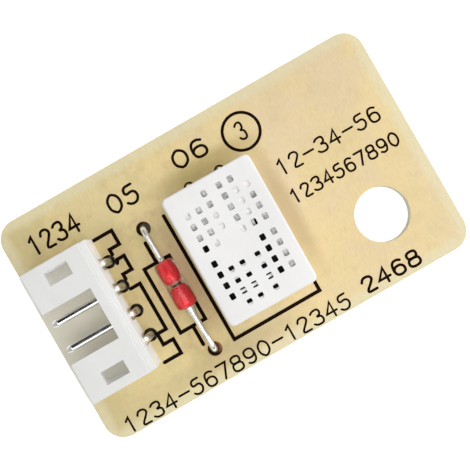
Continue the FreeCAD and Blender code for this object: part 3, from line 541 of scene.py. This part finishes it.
GLYPHS = {
    "0": ((1.5, 0), (0, 1.5), (0, 4.5), (1.5, 6), (2.5, 6), (4, 4.5), (4, 1.5), (2.5, 0), (1.5, 0)),
    "1": ((1, 4.8), (2.4, 6), (2.4, 0)),
    "2": ((0.2, 4.6), (1, 6), (3, 6), (3.9, 5), (3.7, 3.8), (0, 0), (4, 0)),
    "3": ((0.2, 5.2), (1.2, 6), (3.6, 6), (3.8, 3.8), (1.8, 3.2), (4, 2.9), (4, 0.2), (1.2, 0), (0, 1)),
    "4": ((2.9, 0), (2.9, 6), (0, 1.9), (4.2, 1.9)),
    "5": ((3.6, 6), (0.6, 6), (0.3, 3.3), (3.2, 4), (4.2, 2), (3, 0), (1, 0), (0, 0.9)),
    "6": ((3.6, 5.3), (2.4, 6), (0.6, 5.6), (0, 2.8), (0.6, 0), (3.6, 0), (4.1, 2), (3.2, 3.6), (0.9, 3.6),
          (0.1, 2.2)),
    "7": ((0, 6), (4, 6), (1.5, 0)),
    "8": ((2, 3.2), (0.3, 3.4), (0.3, 6), (3.7, 6), (3.7, 3.4), (2, 3.2), (0, 3), (0, 0), (4, 0), (4, 3),
          (2, 3.2)),
    "9": ((0.4, 0.7), (1.6, 0), (3.4, 0.4), (4, 3.2), (3.4, 6), (0.4, 6), (-0.1, 4), (0.8, 2.4), (3.1, 2.4),
          (3.9, 3.8)),
    "-": ((0.1, 3), (4.3, 3)),
}
SQUARE_GLYPHS = "147-"


def printing_ink():
    """Matt ink with pinholes, so that a little of the board shows in it."""
    return clouded("printing ink", {"Roughness": 0.8, "Specular IOR Level": 0.08},
                   (tone(28, 15, 6), tone(96, 72, 44)), 0.10, (0.60, 0.82, 0.0, 0.35), detail=2.0,
                   coarse=0.7, depth=0.003)


def line_tree():
    """Flat ink lines drawn along edges, with round ends; a point's mitre widens the line there."""
    tree, given = new_tree("Ink lines", Width="Float", Thickness="Float", Ink="Material")
    path = make(tree, "MeshToCurve", {"Mesh": given["Geometry"]})
    flat = make(tree, "SetCurveNormal", {"Curve": path}, mode="Z_UP")
    mitre = make(tree, "InputNamedAttribute", {"Name": "mitre"}, data_type="FLOAT")
    width, thickness = given["Width"], given["Thickness"]
    across = make(tree, "CurvePrimitiveQuadrilateral", {"Width": width, "Height": thickness},
                  mode="RECTANGLE")
    strip = make(tree, "CurveToMesh", {"Curve": flat, "Scale": mitre, "Profile Curve": across,
                                       "Fill Caps": True})
    dot = make(tree, "MeshCylinder", {"Vertices": 16, "Radius": maths(tree, "MULTIPLY", width, 0.5),
                                      "Depth": maths(tree, "MULTIPLY", thickness, LINE_END_SHARE)})
    ends = make(tree, "CurveEndpointSelection")
    dots = make(tree, "InstanceOnPoints", {"Points": path, "Selection": ends, "Instance": dot})
    both = add(tree, "GeometryNodeJoinGeometry", {"Geometry": strip})
    tree.links.new(dots, both.inputs["Geometry"])
    return end_tree(tree, both.outputs[0], given["Ink"])


INK_LINES = line_tree()
ink = printing_ink()
ink_level = board_high.z - INK_SUNK + INK_THICKNESS / 2


def mitre_at(before, corner, after):
    """How much wider a line is across its corner than along it."""
    arrive = Vector(corner) - Vector(before)
    leave = Vector(after) - Vector(corner)
    return 1 / max(math.cos(arrive.angle(leave) / 2), 1 / MITRE_LIMIT)


def ink_outline(name, paths, width, closed=False):
    """Printed lines along paths of points."""
    points, edges, mitres = [], [], []
    for path in paths:
        first, last = len(points), len(path) - 1
        points += [(x, y, ink_level) for x, y in path]
        edges += [(first + number, first + number + 1) for number in range(last)]
        if closed:
            edges.append((first + last, first))
        for number, corner in enumerate(path):
            if closed or 0 < number < last:
                mitres.append(mitre_at(path[number - 1], corner, path[(number + 1) % len(path)]))
            else:
                mitres.append(1.0)
    maker = drafted(name + " maker", points, edges)
    maker.data.attributes.new("mitre", "FLOAT", "POINT").data.foreach_set("value", mitres)
    run_tree(maker, INK_LINES, {"Width": width, "Thickness": INK_THICKNESS, "Ink": ink})
    piece = settle(maker, name)
    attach(piece, "root")


def rounded(path):
    """A path with each corner cut off twice over, as a plotted number has them."""
    points = [Vector(point) for point in path]
    for _ in range(2):
        cut = [points[0]]
        for near, far in zip(points, points[1:]):
            cut += [near.lerp(far, 0.25), near.lerp(far, 0.75)]
        points = cut + [points[-1]]
    return points


def number_paths(rows, width):
    """The lines of rows of numbers, each drawn to fill its box."""
    paths = []
    for words, low_x, high_x, low_y, high_y in rows:
        step_x = (high_x - low_x - width) / (GLYPH_STEP * (len(words) - 1) + GLYPH_WIDTH)
        step_y = (high_y - low_y - width) / GLYPH_HEIGHT
        for number, sign in enumerate(words):
            glyph = GLYPHS[sign] if sign in SQUARE_GLYPHS else rounded(GLYPHS[sign])
            paths.append([(low_x + width / 2 + (x + GLYPH_STEP * number) * step_x,
                           low_y + width / 2 + y * step_y) for x, y in glyph])
    return paths


ink_outline("print_outlines", OUTLINES, LINE)
ink_outline("print_thermistor_box", [THERMISTOR_BOX], LINE, closed=True)
ring_x, ring_y, ring_radius = RING
turns = [math.tau * step / RING_STEPS for step in range(RING_STEPS)]
ring_points = [(ring_x + ring_radius * math.cos(turn), ring_y + ring_radius * math.sin(turn))
               for turn in turns]
ink_outline("print_ring", [ring_points], RING_LINE, closed=True)
ink_outline("print_numbers", number_paths(NUMBERS, NUMBER_LINE), NUMBER_LINE)
ink_outline("print_labels", number_paths(LABELS, LABEL_LINE), LABEL_LINE)

# Header housing
# The plug header is moulded in one shot from white nylon, open towards the board's left edge, with
# one wide and two small windows in its roof. Its edges are the mould's small rounds.

HOUSING_EDGE = 0.09
HOUSING_MIDDLE = -0.26
WIDE_WINDOW = 4.85
CAVITY_FLOOR = 4.0
ROOF_UNDERSIDE = 8.15
FOOT_FADE = 0.5
FLOOR_FADE = 0.3
ASIDE_FADE = 1.8


def moulded(name, colour, shade, roughness, spot, tinted=None):
    """White moulded plastic: slightly uneven in tone and gloss, with a fine spark-eroded texture."""
    material, tree, surface = finish(name, {
        "Subsurface Weight": 0.12, "Subsurface Radius": (0.0006, 0.0005, 0.0004), "Specular IOR Level": 0.3,
    })
    where = place_in(tree)
    flow = grain(tree, stretched(tree, where, 1, 0.4, 1), spot, 3.0)
    colour = mixed(tree, eased(tree, flow, 0.3, 0.75), colour, shade)
    if tinted:
        colour = tinted(tree, where, colour)
    tree.links.new(colour, surface.inputs["Base Color"])
    texture = grain(tree, where, 0.07, 2.0)
    tree.links.new(eased(tree, texture, 0.2, 0.8, roughness - 0.06, roughness + 0.08),
                   surface.inputs["Roughness"])
    relief(tree, surface, texture, 0.0025)
    return material


def painted_light_low_down(tree, where, colour):
    """Painted light and shade on the nylon: below the roof's underside it is painted near white, to lift
    the shade of the lower walls; its floor is painted light under the small windows, and warm grey under
    the wide window as painted shade with a painted warm bounce from the board."""
    axes = axes_of(tree, where)
    # Painted light: near white below the roof's underside, lifting the lower walls' shade.
    painted_lift = faded(tree, axes["Z"], ROOF_UNDERSIDE - FOOT_FADE, ROOF_UNDERSIDE + FOOT_FADE, 1.0, 0.0)
    colour = mixed(tree, painted_lift, colour, tone(254, 253, 251))
    # Painted floor: light under the small windows, warm grey painted shade under the wide one.
    level = faded(tree, axes["Z"], CAVITY_FLOOR, CAVITY_FLOOR + FLOOR_FADE, 1.0, 0.0)
    aside = maths(tree, "ABSOLUTE", maths(tree, "SUBTRACT", axes["Y"], HOUSING_MIDDLE * MILLIMETRE))
    within = faded(tree, aside, WIDE_WINDOW / 2, WIDE_WINDOW / 2 + ASIDE_FADE, 1.0, 0.0)
    return mixed(tree, level, colour, mixed(tree, within, tone(255, 252, 240), tone(234, 229, 211)))


nylon = moulded("white nylon", tone(230, 230, 229), tone(224, 224, 221), 0.42, 2.5, painted_light_low_down)
maker = linked("housing maker", copy_of("connector_housing"))
maker.data.materials.append(nylon)
soften(maker, HOUSING_EDGE, angle=45, steps=3)
housing = settle(maker, "header_housing")
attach(housing, "root")
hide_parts("connector_housing")

# Header pins
# Four pins of drawn square wire with slightly crowned faces, tin plated, bent once behind the
# housing and pressed through it. Their ends are coined to a blunt point.

PIN_HALF = 0.32
PIN_SQUARENESS = 3.4
PIN_BEND = 0.57
PIN_TIP = (0.3, 0.5)
PIN_CRAZED_FROM = -11.9
CRAZED = (0.0, 0.4)
DRAWN_THIN = (0.5, 0.9)
TIP_HANDLE = 0.05
SWELL_HANDLE = 0.08
CRISP_ANGLE = 50
SECTION_STEPS = 40


def tinned(name, colour, dull, roughness, crazed_from=None):
    """Bright tin, in places a little duller, with a faintly uneven skin. It crazes and turns matt where
    the wire was bent after it was plated, from a place along the board."""
    material, tree, surface = finish(name, {"Metallic": 1.0})
    where = place_in(tree)
    patches = grain(tree, where, 0.9, 2.0)
    colour = mixed(tree, eased(tree, patches, 0.4, 0.75), colour, dull)
    gloss = eased(tree, patches, 0.3, 0.8, roughness - 0.03, roughness + 0.06)
    if crazed_from:
        across = axes_of(tree, where)["X"]
        crazed, thin = [faded(tree, across, crazed_from + start, crazed_from + end)
                        for start, end in (CRAZED, DRAWN_THIN)]
        gloss = maths(tree, "MULTIPLY_ADD", crazed, 0.3, gloss)
        colour = mixed(tree, thin, colour, tone(202, 199, 186))
    tree.links.new(colour, surface.inputs["Base Color"])
    tree.links.new(gloss, surface.inputs["Roughness"])
    relief(tree, surface, grain(tree, where, 0.3, 2.0), 0.0025)
    return material


def bent_wire(name, corners, bend, tips, tin, radius=0.0, section=None, swell=()):
    """A finished wire that is bent once, round or with a section of its own. Tips are the length and
    the narrowing of its two ends, and swells are places before the bend where it is thicker."""
    start, corner, end = [Vector(point) for point in corners]
    arrive, leave = (corner - start).normalized(), (end - corner).normalized()
    angle = arrive.angle(leave)
    back = bend * math.tan(angle / 2)
    handle = bend * math.tan(angle / 4) * 4 / 3
    (near, near_scale), (far, far_scale) = tips
    near_handle, far_handle = min(TIP_HANDLE, near / 3), min(TIP_HANDLE, far / 3)
    knots = [(start, arrive, near_handle, near_scale), (start + arrive * near, arrive, near_handle, 1.0)]
    knots += [(start + arrive * reach, arrive, SWELL_HANDLE, scale) for reach, scale in swell]
    knots += [(corner - arrive * back, arrive, handle, 1.0), (corner + leave * back, leave, handle, 1.0),
              (end - leave * far, leave, far_handle, 1.0), (end, leave, far_handle, far_scale)]
    curve = bpy.data.curves.new(name, "CURVE")
    curve.dimensions = "3D"
    curve.resolution_u = 8
    curve.use_fill_caps = True
    if section:
        curve.bevel_mode = "OBJECT"
        curve.bevel_object = section
        helpers.append(section)
    else:
        curve.bevel_depth = radius
        curve.bevel_resolution = 6
    spline = curve.splines.new("BEZIER")
    spline.bezier_points.add(len(knots) - 1)
    for point, (place, way, handle, scale) in zip(spline.bezier_points, knots):
        point.co = place
        point.handle_left = place - way * handle
        point.handle_right = place + way * handle
        point.radius = scale
    curve.materials.append(tin)
    wire = settle(linked(name + " maker", curve), name)
    wire.data.shade_smooth()
    wire.data.set_sharp_from_angle(angle=math.radians(CRISP_ANGLE))
    return wire


def pin_section():
    """The pin's outline across: a square with rounded corners and slightly crowned faces."""
    curve = bpy.data.curves.new("pin section", "CURVE")
    curve.dimensions = "2D"
    spline = curve.splines.new("POLY")
    spline.points.add(SECTION_STEPS - 1)
    for number, point in enumerate(spline.points):
        angle = math.tau * number / SECTION_STEPS
        across, up = math.cos(angle), math.sin(angle)
        fullness = (abs(across) ** PIN_SQUARENESS + abs(up) ** PIN_SQUARENESS) ** (1 / PIN_SQUARENESS)
        reach = PIN_HALF / fullness
        point.co = (across * reach, up * reach, 0, 1)
    spline.use_cyclic_u = True
    return linked("pin section", curve)


pin_tin = tinned("tin plate", tone(236, 236, 233), tone(216, 215, 209), 0.1, PIN_CRAZED_FROM)
for number in range(1, 5):
    node = "connector_pin_%d" % number
    low, high = box_of(node)
    y = (low.y + high.y) / 2
    level = high.z - PIN_HALF
    bend_x = high.x - PIN_HALF
    pin = bent_wire("header_pin_%d" % number, [(low.x, y, level), (bend_x, y, level), (bend_x, y, low.z)],
                    PIN_BEND, [PIN_TIP, PIN_TIP], pin_tin, section=pin_section())
    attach(pin, "root")
    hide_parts(node)

# Sensing element
# Inside the sensor's case a small ceramic plate carries two interlocked combs, and a dark film that
# takes up moisture covers them. Its two wires are soldered to the combs' pads.

WIRE_REST = 4.7299
WIRE_ASIDE = 0.003
WIRE_BEND = 0.45
WIRE_TIPS = [(0.05, 0.8), (0.1, 0.8)]

alumina = clouded("fired ceramic", {"Roughness": 0.7}, (tone(220, 219, 212), tone(200, 198, 188)), 0.09,
                  depth=0.006)
dress("sensor_substrate", alumina)
carbon = clouded("screened carbon paste", {"Roughness": 0.6}, (tone(40, 37, 34), tone(70, 64, 58)), 0.08,
                 detail=2.0, depth=0.005)
dress("sensor_electrode_left", carbon)
dress("sensor_electrode_right", carbon)
dress("sensor_film", clouded("sensing film", {"Roughness": 0.5}, (tone(10, 10, 11), tone(40, 36, 34)), 1.1,
                             (0.35, 0.7), depth=0.004, fine=0.25))
tack_solder = tinned("tack solder", tone(206, 206, 202), tone(160, 158, 150), 0.3)
dress("sensor_tack_left", tack_solder)
dress("sensor_tack_right", tack_solder)
wire_tin = tinned("tinned wire", tone(240, 239, 234), tone(222, 220, 212), 0.18)
for side in ("left", "right"):
    node = "sensor_lead_" + side
    low, high = box_of(node)
    hole = joint_places["sensor_" + side]
    radius = (high.z - WIRE_REST) / 2
    level = high.z - radius
    inner = (low.x + radius, low.y + WIRE_ASIDE, level)
    wire = bent_wire("sensor_wire_" + side, [inner, (hole.x, hole.y, level), (hole.x, hole.y, low.z)],
                     WIRE_BEND, WIRE_TIPS, wire_tin, radius)
    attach(wire, "root")
    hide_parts(node)

# Sensor case
# The humidity sensor's case is a white moulded cap over a moulded base. Its roof has a grid of
# square holes that let the air in: some go through, and some are only shallow marks of the mould.

CASE_SIZE = (8.57, 12.42, 4.5)
CASE_PLACE = (0.2, -0.63)
CASE_TURN = -0.5
CASE_WALL = 0.75
CASE_ROOF = 0.5
CASE_CORNER = 0.5
CASE_INNER_CORNER = 0.1
CASE_EDGE = 0.2
CASE_HOLE_EDGE = 0.05
CASE_CUT = 2 * CASE_ROOF + 0.3
GRID_HOLE = (0.5, 0.58)
GRID_PITCH = (1.08, 1.055)
GRID_MIDDLE = (1.48, 1.48)
GRID_SHIFT = 0.06
GRID_DIMPLE = 0.12
GRID_CORNER = 0.22
DIMPLE_CORNER = 0.3
WIRE_SLOT = (0.6, CASE_WALL + 0.6, 4.2)
WIRE_PITCH = 3.1
# In the grid # is a hole, o a shallow dimple, a dot nothing, and u, d, p and m are half closed holes.
GRID = (
    "..###.",
    "o###oo",
    "##o#o#",
    "##o#o#",
    "#o.o##",
    "#...##",
    "#uuu##",
    "#ddd##",
    "#ppp##",
    ".mmm..",
)
HALF_CLOSED = {
    "u": ((0.06, 0.36),),
    "d": ((-0.09, 0.38),),
    "p": ((0.2, 0.14), (-0.18, 0.15)),
    "m": ((0.02, 0.34),),
}


def from_middle(number, count, pitch, middle):
    """A column's or row's distance from the centre line, in two groups with a wider bar between."""
    half = count // 2
    if number < half:
        return (number - half + 1) * pitch - middle / 2
    return (number - half) * pitch + middle / 2


def shade_spotted(name, pale, dark, spot):
    """Plastic that is greyer in random spots: painted shade."""
    return clouded(name, {"Roughness": 0.6, "Specular IOR Level": 0.2}, (pale, dark), spot, (0.42, 0.62),
                   coarse=0.6)


case_plastic = moulded("white case plastic", tone(240, 239, 238), tone(234, 233, 232), 0.5, 3.0)
# Painted shade: the flash over the dimples is greyed for the dark inside behind it, and the base is greyed
# in spots for the shade inside the case under the holes.
flash_shade_spotted = shade_spotted("flash over a hole, painted shade", tone(238, 237, 235), tone(208, 208, 206), 0.5)
base_shade_spotted = shade_spotted("base plastic, painted shade", tone(250, 249, 247), tone(196, 195, 192), 0.45)
half_x, half_y, case_height = CASE_SIZE[0] / 2, CASE_SIZE[1] / 2, CASE_SIZE[2]
outer = ((-half_x, -half_y), (half_x, half_y))
inner = ((CASE_WALL - half_x, CASE_WALL - half_y), (half_x - CASE_WALL, half_y - CASE_WALL))
loops = [plate_loop(*inner, CASE_INNER_CORNER, z, steps=6) for z in (case_height - CASE_ROOF, 0.0)]
loops.append(plate_loop(*outer, CASE_CORNER, 0.0, steps=6))
loops += [plate_loop(*outer, CASE_CORNER, case_height - drop, inset, steps=6)
          for inset, drop in edge_steps(CASE_EDGE, 5)]
maker = skin("case maker", loops)
maker.data.materials.append(case_plastic)
grid_holes, dimples = [], []
for row, line in enumerate(GRID):
    for column, mark in enumerate(line):
        if mark == ".":
            continue
        x = from_middle(column, len(line), GRID_PITCH[0], GRID_MIDDLE[0]) + GRID_SHIFT
        y = -from_middle(row, len(GRID), GRID_PITCH[1], GRID_MIDDLE[1])
        if mark == "#":
            grid_holes.append(((x, y, case_height), (*GRID_HOLE, CASE_CUT)))
            continue
        dimples.append(((x, y, case_height), (*GRID_HOLE, 2 * GRID_DIMPLE)))
        for shift, length in HALF_CLOSED.get(mark, ()):
            grid_holes.append(((x, y + shift, case_height), (GRID_HOLE[0], length, CASE_CUT)))
for side in (-1, 1):
    grid_holes.append(((side * WIRE_PITCH / 2, half_y - CASE_WALL / 2, 0.0), WIRE_SLOT))
punch(maker, "dimples", dimples, unit_cutter("dimple punch", DIMPLE_CORNER, steps=3), flash_shade_spotted)
punch(maker, "grid holes", grid_holes, unit_cutter("grid punch", GRID_CORNER, steps=3), case_plastic)
soften(maker, CASE_HOLE_EDGE, angle=50)
seat = Matrix.Translation((*CASE_PLACE, board_high.z)) @ Matrix.Rotation(math.radians(CASE_TURN), 4, "Z")
case = settle(maker, "sensor_case", seat)
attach(case, "root")
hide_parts("sensor_cover")
dress("sensor_base", base_shade_spotted)

# Thermistor
# A glass bead thermistor: a sliver of oxide between two red coated studs, sealed in a clear glass
# sleeve that was fire polished at its ends and throws no shadow. Its wires are welded to the studs.

GLASS_RADIUS = 0.975
GLASS_ROUND = 0.42
GLASS_BORE = 0.3
LATHE_STEPS = 40
STUD_SHAPES = {
    "upper": ((0, 0.3), (0, 0.42), (0.05, 0.48), (0.25, 0.55), (0.6, 0.60), (1.0, 0.62), (1.35, 0.59),
              (1.65, 0.52), (1.85, 0.44), (1.96, 0.38), (1.98, 0.3)),
    "lower": ((0, 0.28), (0.02, 0.38), (0.1, 0.47), (0.3, 0.55), (0.6, 0.61), (1.0, 0.65), (1.5, 0.67),
              (1.8, 0.65), (1.93, 0.59), (1.98, 0.51), (1.98, 0.3)),
}
CHIP_OXIDE = (-1.24, -1.16)
CHIP_SILVER_AND_HIGHLIGHT = (-1.41, -1.38)
THERMISTOR_LEVEL = 4.2
LEAD_RADIUS = 0.28
LEAD_BEND = 0.6
LEAD_TIPS = [(0.05, 0.9), (0.1, 0.8)]
WELDS = {
    "upper": ((0.14, 1.0), (0.25, 1.12), (0.47, 1.0)),
    "lower": ((0.06, 1.2), (0.18, 1.6), (0.6, 1.5), (1.1, 1.05)),
}
upper_hole, lower_hole = joint_places["thermistor_upper"], joint_places["thermistor_lower"]
axis = Vector((upper_hole.x - lower_hole.x, upper_hole.y - lower_hole.y, 0)).normalized()
sideways = Vector((axis.y, -axis.x, 0))


def on_axis(y):
    """The point of the thermistor's centre line at a distance along the board."""
    return Vector((lower_hole.x + (y - lower_hole.y) * axis.x / axis.y, y, THERMISTOR_LEVEL))


def lathe(name, profile):
    """A round piece about the thermistor's centre line, from places along it and radii."""
    turns = [math.tau * step / LATHE_STEPS for step in range(LATHE_STEPS)]
    around = [sideways * math.cos(turn) + Vector((0, 0, math.sin(turn))) for turn in turns]
    return skin(name, [[on_axis(y) + way * radius for way in around] for y, radius in profile])


def rounded_ends(low, high, radius, edge, hub):
    """A cylinder's profile with rounded ends that run in to a hub."""
    arc = edge_steps(edge, 6)
    return ([(low, hub)] + [(low + drop, radius - inset) for inset, drop in reversed(arc)]
            + [(high - drop, radius - inset) for inset, drop in arc] + [(high, hub)])


def clear_glass():
    """Clear glass with a faint warm tint and slightly wavy skin."""
    material, tree, surface = finish("clear glass", {
        "Base Color": (1.0, 0.94, 0.86, 1), "Roughness": 0.02, "Transmission Weight": 1.0, "IOR": 1.45,
        "Specular IOR Level": 0.2,
    })
    relief(tree, surface, grain(tree, place_in(tree), 0.9, 1.0), 0.006)
    return material


low, high = box_of("thermistor_glass")
maker = lathe("glass maker", rounded_ends(low.y, high.y, GLASS_RADIUS, GLASS_ROUND, GLASS_BORE))
maker.data.materials.append(clear_glass())
glass = settle(maker, "thermistor_sleeve")
glass.visible_shadow = False
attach(glass, "root")
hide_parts("thermistor_glass")

red_oxide = clouded("red oxide coat", {"Roughness": 0.35, "Metallic": 0.4, "Specular IOR Level": 0.4},
                    (tone(242, 24, 40), tone(255, 78, 84)), 0.35, (0.35, 0.75), drawn=(1, 0.3, 1),
                    depth=0.01)
for end in ("upper", "lower"):
    node = "thermistor_stud_" + end
    low, high = box_of(node)
    start, sign = (low.y, 1) if end == "upper" else (high.y, -1)
    maker = lathe(node + " maker", [(start + sign * reach, radius) for reach, radius in STUD_SHAPES[end]])
    maker.data.materials.append(red_oxide)
    stud = settle(maker, "thermistor_plug_" + end)
    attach(stud, "root")
    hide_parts(node)


def silvered_oxide():
    """Dark sintered oxide between a brown glaze and its fired silver lower face, with a painted highlight.
    """
    material, tree, surface = finish("silvered oxide", {"Roughness": 0.7, "Specular IOR Level": 0.1})
    where = place_in(tree)
    along = axes_of(tree, where)["Y"]
    sinter = grain(tree, where, 0.06, 3.0)
    oxide = mixed(tree, eased(tree, sinter, 0.3, 0.7), tone(34, 16, 10), tone(74, 48, 34))
    colour = mixed(tree, faded(tree, along, *CHIP_OXIDE), oxide, tone(176, 124, 96))
    # The lower face: fired silver, painted pale pink as a painted highlight.
    colour = mixed(tree, faded(tree, along, *CHIP_SILVER_AND_HIGHLIGHT, 1.0, 0.0), colour, tone(250, 214, 200))
    tree.links.new(colour, surface.inputs["Base Color"])
    return material


dress("thermistor_chip", silvered_oxide())

for end, hole, sign in (("upper", upper_hole, 1), ("lower", lower_hole, -1)):
    node = "thermistor_lead_" + end
    low, high = box_of(node)
    start = on_axis(low.y if sign > 0 else high.y)
    corner = (hole.x, hole.y, THERMISTOR_LEVEL)
    wire = bent_wire("thermistor_wire_" + end, [start, corner, (hole.x, hole.y, low.z)], LEAD_BEND,
                     LEAD_TIPS, wire_tin, LEAD_RADIUS, swell=WELDS[end])
    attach(wire, "root")
    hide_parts(node)

# Solder joints
# Eight wave-soldered joints on the underside. Each is a hollow-sided cone of bright solder round
# the trimmed end of its lead, no two quite alike, and flux has run up the hole above it.

SOLDER_PROFILE = ((0.50, 1.565), (0.86, 1.563), (0.85, 1.54), (0.78, 1.44), (0.69, 1.27), (0.61, 1.07),
                  (0.54, 0.86), (0.48, 0.66), (0.44, 0.52), (0.38, 0.44), (0.28, 0.415))
JOINT_STEPS = 36
JOINT_UNEVENNESS = 0.16
JOINT_SEED = 4
TURN_RANGE = 6.28
DENT_SCALE = 1.1
DENTED_BELOW = 1.5


def solder_metal():
    """Bright solder, and brown flux on the faces that look up the holes."""
    material, tree, surface = finish("bright solder")
    facing = add(tree, "ShaderNodeNewGeometry").outputs["Normal"]
    flux = eased(tree, axes_of(tree, facing)["Z"], 0.4, 0.8)
    skin_marks = grain(tree, place_in(tree), 0.4, 4.0, 0.6)
    metal = mixed(tree, eased(tree, skin_marks, 0.35, 0.7), tone(214, 215, 213), tone(168, 168, 164))
    tree.links.new(mixed(tree, flux, metal, tone(106, 78, 48)), surface.inputs["Base Color"])
    tree.links.new(maths(tree, "SUBTRACT", 1.0, flux), surface.inputs["Metallic"])
    tree.links.new(eased(tree, skin_marks, 0.3, 0.8, 0.14, 0.36), surface.inputs["Roughness"])
    relief(tree, surface, skin_marks, 0.01)
    return material


def joint_tree():
    """One joint at each point, turned and dented in its own way."""
    tree, given = new_tree("Solder joints", Joint="Object", Unevenness="Float", Seed="Int", Metal="Material")
    joint = make(tree, "ObjectInfo", {"Object": given["Joint"]}, "Geometry")
    turn = add(tree, "FunctionNodeRandomValue", {"Min": (0, 0, 0), "Max": (0, 0, TURN_RANGE),
                                                 "Seed": given["Seed"]}, data_type="FLOAT_VECTOR")
    copies = make(tree, "InstanceOnPoints", {"Points": given["Geometry"], "Instance": joint,
                                             "Rotation": turn.outputs[0]})
    solid = make(tree, "RealizeInstances", {"Geometry": copies})
    dents = add(tree, "ShaderNodeTexNoise", {"Scale": DENT_SCALE, "Detail": 1.0})
    centred = add(tree, "ShaderNodeVectorMath", {0: dents.outputs["Color"], 1: (0.5, 0.5, 0.5)},
                  operation="SUBTRACT")
    shift = add(tree, "ShaderNodeVectorMath", {0: centred.outputs[0], "Scale": given["Unevenness"]},
                operation="SCALE")
    height = axes_of(tree, make(tree, "InputPosition"))["Z"]
    below_pad = add(tree, "FunctionNodeCompare", {0: height, 1: DENTED_BELOW}, operation="LESS_THAN",
                    data_type="FLOAT")
    dented = make(tree, "SetPosition", {"Geometry": solid, "Offset": shift.outputs[0],
                                        "Selection": below_pad.outputs[0]})
    return end_tree(tree, dented, given["Metal"])


turns = [math.tau * step / JOINT_STEPS for step in range(JOINT_STEPS)]
joint_maker = skin("joint maker", [[(radius * math.cos(turn), radius * math.sin(turn), z) for turn in turns]
                                   for radius, z in SOLDER_PROFILE])
helpers.append(joint_maker)
maker = drafted("joints maker", [(at.x, at.y, 0) for at in joint_places.values()])
run_tree(maker, joint_tree(), {"Joint": joint_maker, "Unevenness": JOINT_UNEVENNESS, "Seed": JOINT_SEED,
                               "Metal": solder_metal()})
solder = settle(maker, "solder_joints")
solder.data.shade_smooth()
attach(solder, "root")
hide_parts(*["solder_" + joint for joint in JOINTS])

# Studio
# The board stands on a white floor under a wide soft lamp, with a smaller lamp at its right and an
# even sky. A black card gives the tin its dark reflections. The camera looks straight down, turned
# as in the photograph.

LAMPS = (
    ("soft lamp", (0.45, 0.36), 0.92, (0.0, -0.155, 0.45), (0.0, -0.155, 0.0)),
    ("fill lamp", (0.30, 0.12), 0.56, (0.30, 0.0, 0.20), (0.0, 0.0, 0.0)),
)
SKY = 0.54
FLOOR_REACH = 1.5
FLOOR_LEVEL = -0.00002
FLOOR_GREY = (0.86, 0.86, 0.86, 1)
FLOOR_GLOW = 0.9
CARD_BLACK = (0.01, 0.01, 0.01, 1)
CARD_CORNERS = ((-0.14, -0.03, 0.42), (-0.05, -0.03, 0.42), (-0.05, 0.36, 0.10), (-0.14, 0.36, 0.10))
CAMERA_HEIGHT = 0.100
CAMERA_CENTRE = (0.00011, -0.00005)
CAMERA_TURN = -29.9
CAMERA_NEAREST = 0.001
PIXELS_PER_MILLIMETRE = 11.2
PICTURE = 470
SENSOR_WIDTH = 36.0


def studio_sheet(name, corners, material):
    """A flat sheet of the studio, which isn't part of the object."""
    sheet = drafted(name, corners, faces=[(0, 1, 2, 3)])
    sheet.data.materials.append(material)
    return sheet


white, tree, surface = finish("white floor", {
    "Base Color": FLOOR_GREY, "Roughness": 0.9, "Emission Color": (1, 1, 1, 1),
})
rays = add(tree, "ShaderNodeLightPath").outputs
shown = maths(tree, "MAXIMUM", maths(tree, "MAXIMUM", rays["Is Camera Ray"], rays["Is Glossy Ray"]),
              rays["Is Transmission Ray"])
tree.links.new(maths(tree, "MULTIPLY", shown, FLOOR_GLOW), surface.inputs["Emission Strength"])
floor_corners = [(x * FLOOR_REACH, y * FLOOR_REACH, FLOOR_LEVEL)
                 for x, y in ((-1, -1), (1, -1), (1, 1), (-1, 1))]
studio_sheet("floor", floor_corners, white)
black = finish("black card", {"Base Color": CARD_BLACK, "Roughness": 0.9})[0]
card = studio_sheet("card", CARD_CORNERS, black)
card.visible_camera = False

world = bpy.data.worlds.new("studio")
world.use_nodes = True
bpy.context.scene.world = world
world.node_tree.nodes["Background"].inputs["Color"].default_value = (1, 1, 1, 1)
world.node_tree.nodes["Background"].inputs["Strength"].default_value = SKY

for name, size, watts, place, aim in LAMPS:
    light = bpy.data.lights.new(name, "AREA")
    light.shape = "RECTANGLE"
    light.size, light.size_y = size
    light.energy = watts
    lamp = linked(name, light)
    lamp.location = place
    lamp.rotation_euler = (Vector(aim) - Vector(place)).to_track_quat("-Z", "Y").to_euler()

camera = bpy.data.cameras.new("camera")
camera.sensor_width = SENSOR_WIDTH
camera.lens = SENSOR_WIDTH * PIXELS_PER_MILLIMETRE * CAMERA_HEIGHT / MILLIMETRE / PICTURE
camera.clip_start = CAMERA_NEAREST
viewer = linked("camera", camera)
viewer.location = (*CAMERA_CENTRE, board_high.z * MILLIMETRE + CAMERA_HEIGHT)
viewer.rotation_euler = (0, 0, math.radians(CAMERA_TURN))
bpy.context.scene.camera = viewer
bpy.context.scene.view_settings.view_transform = "Standard"
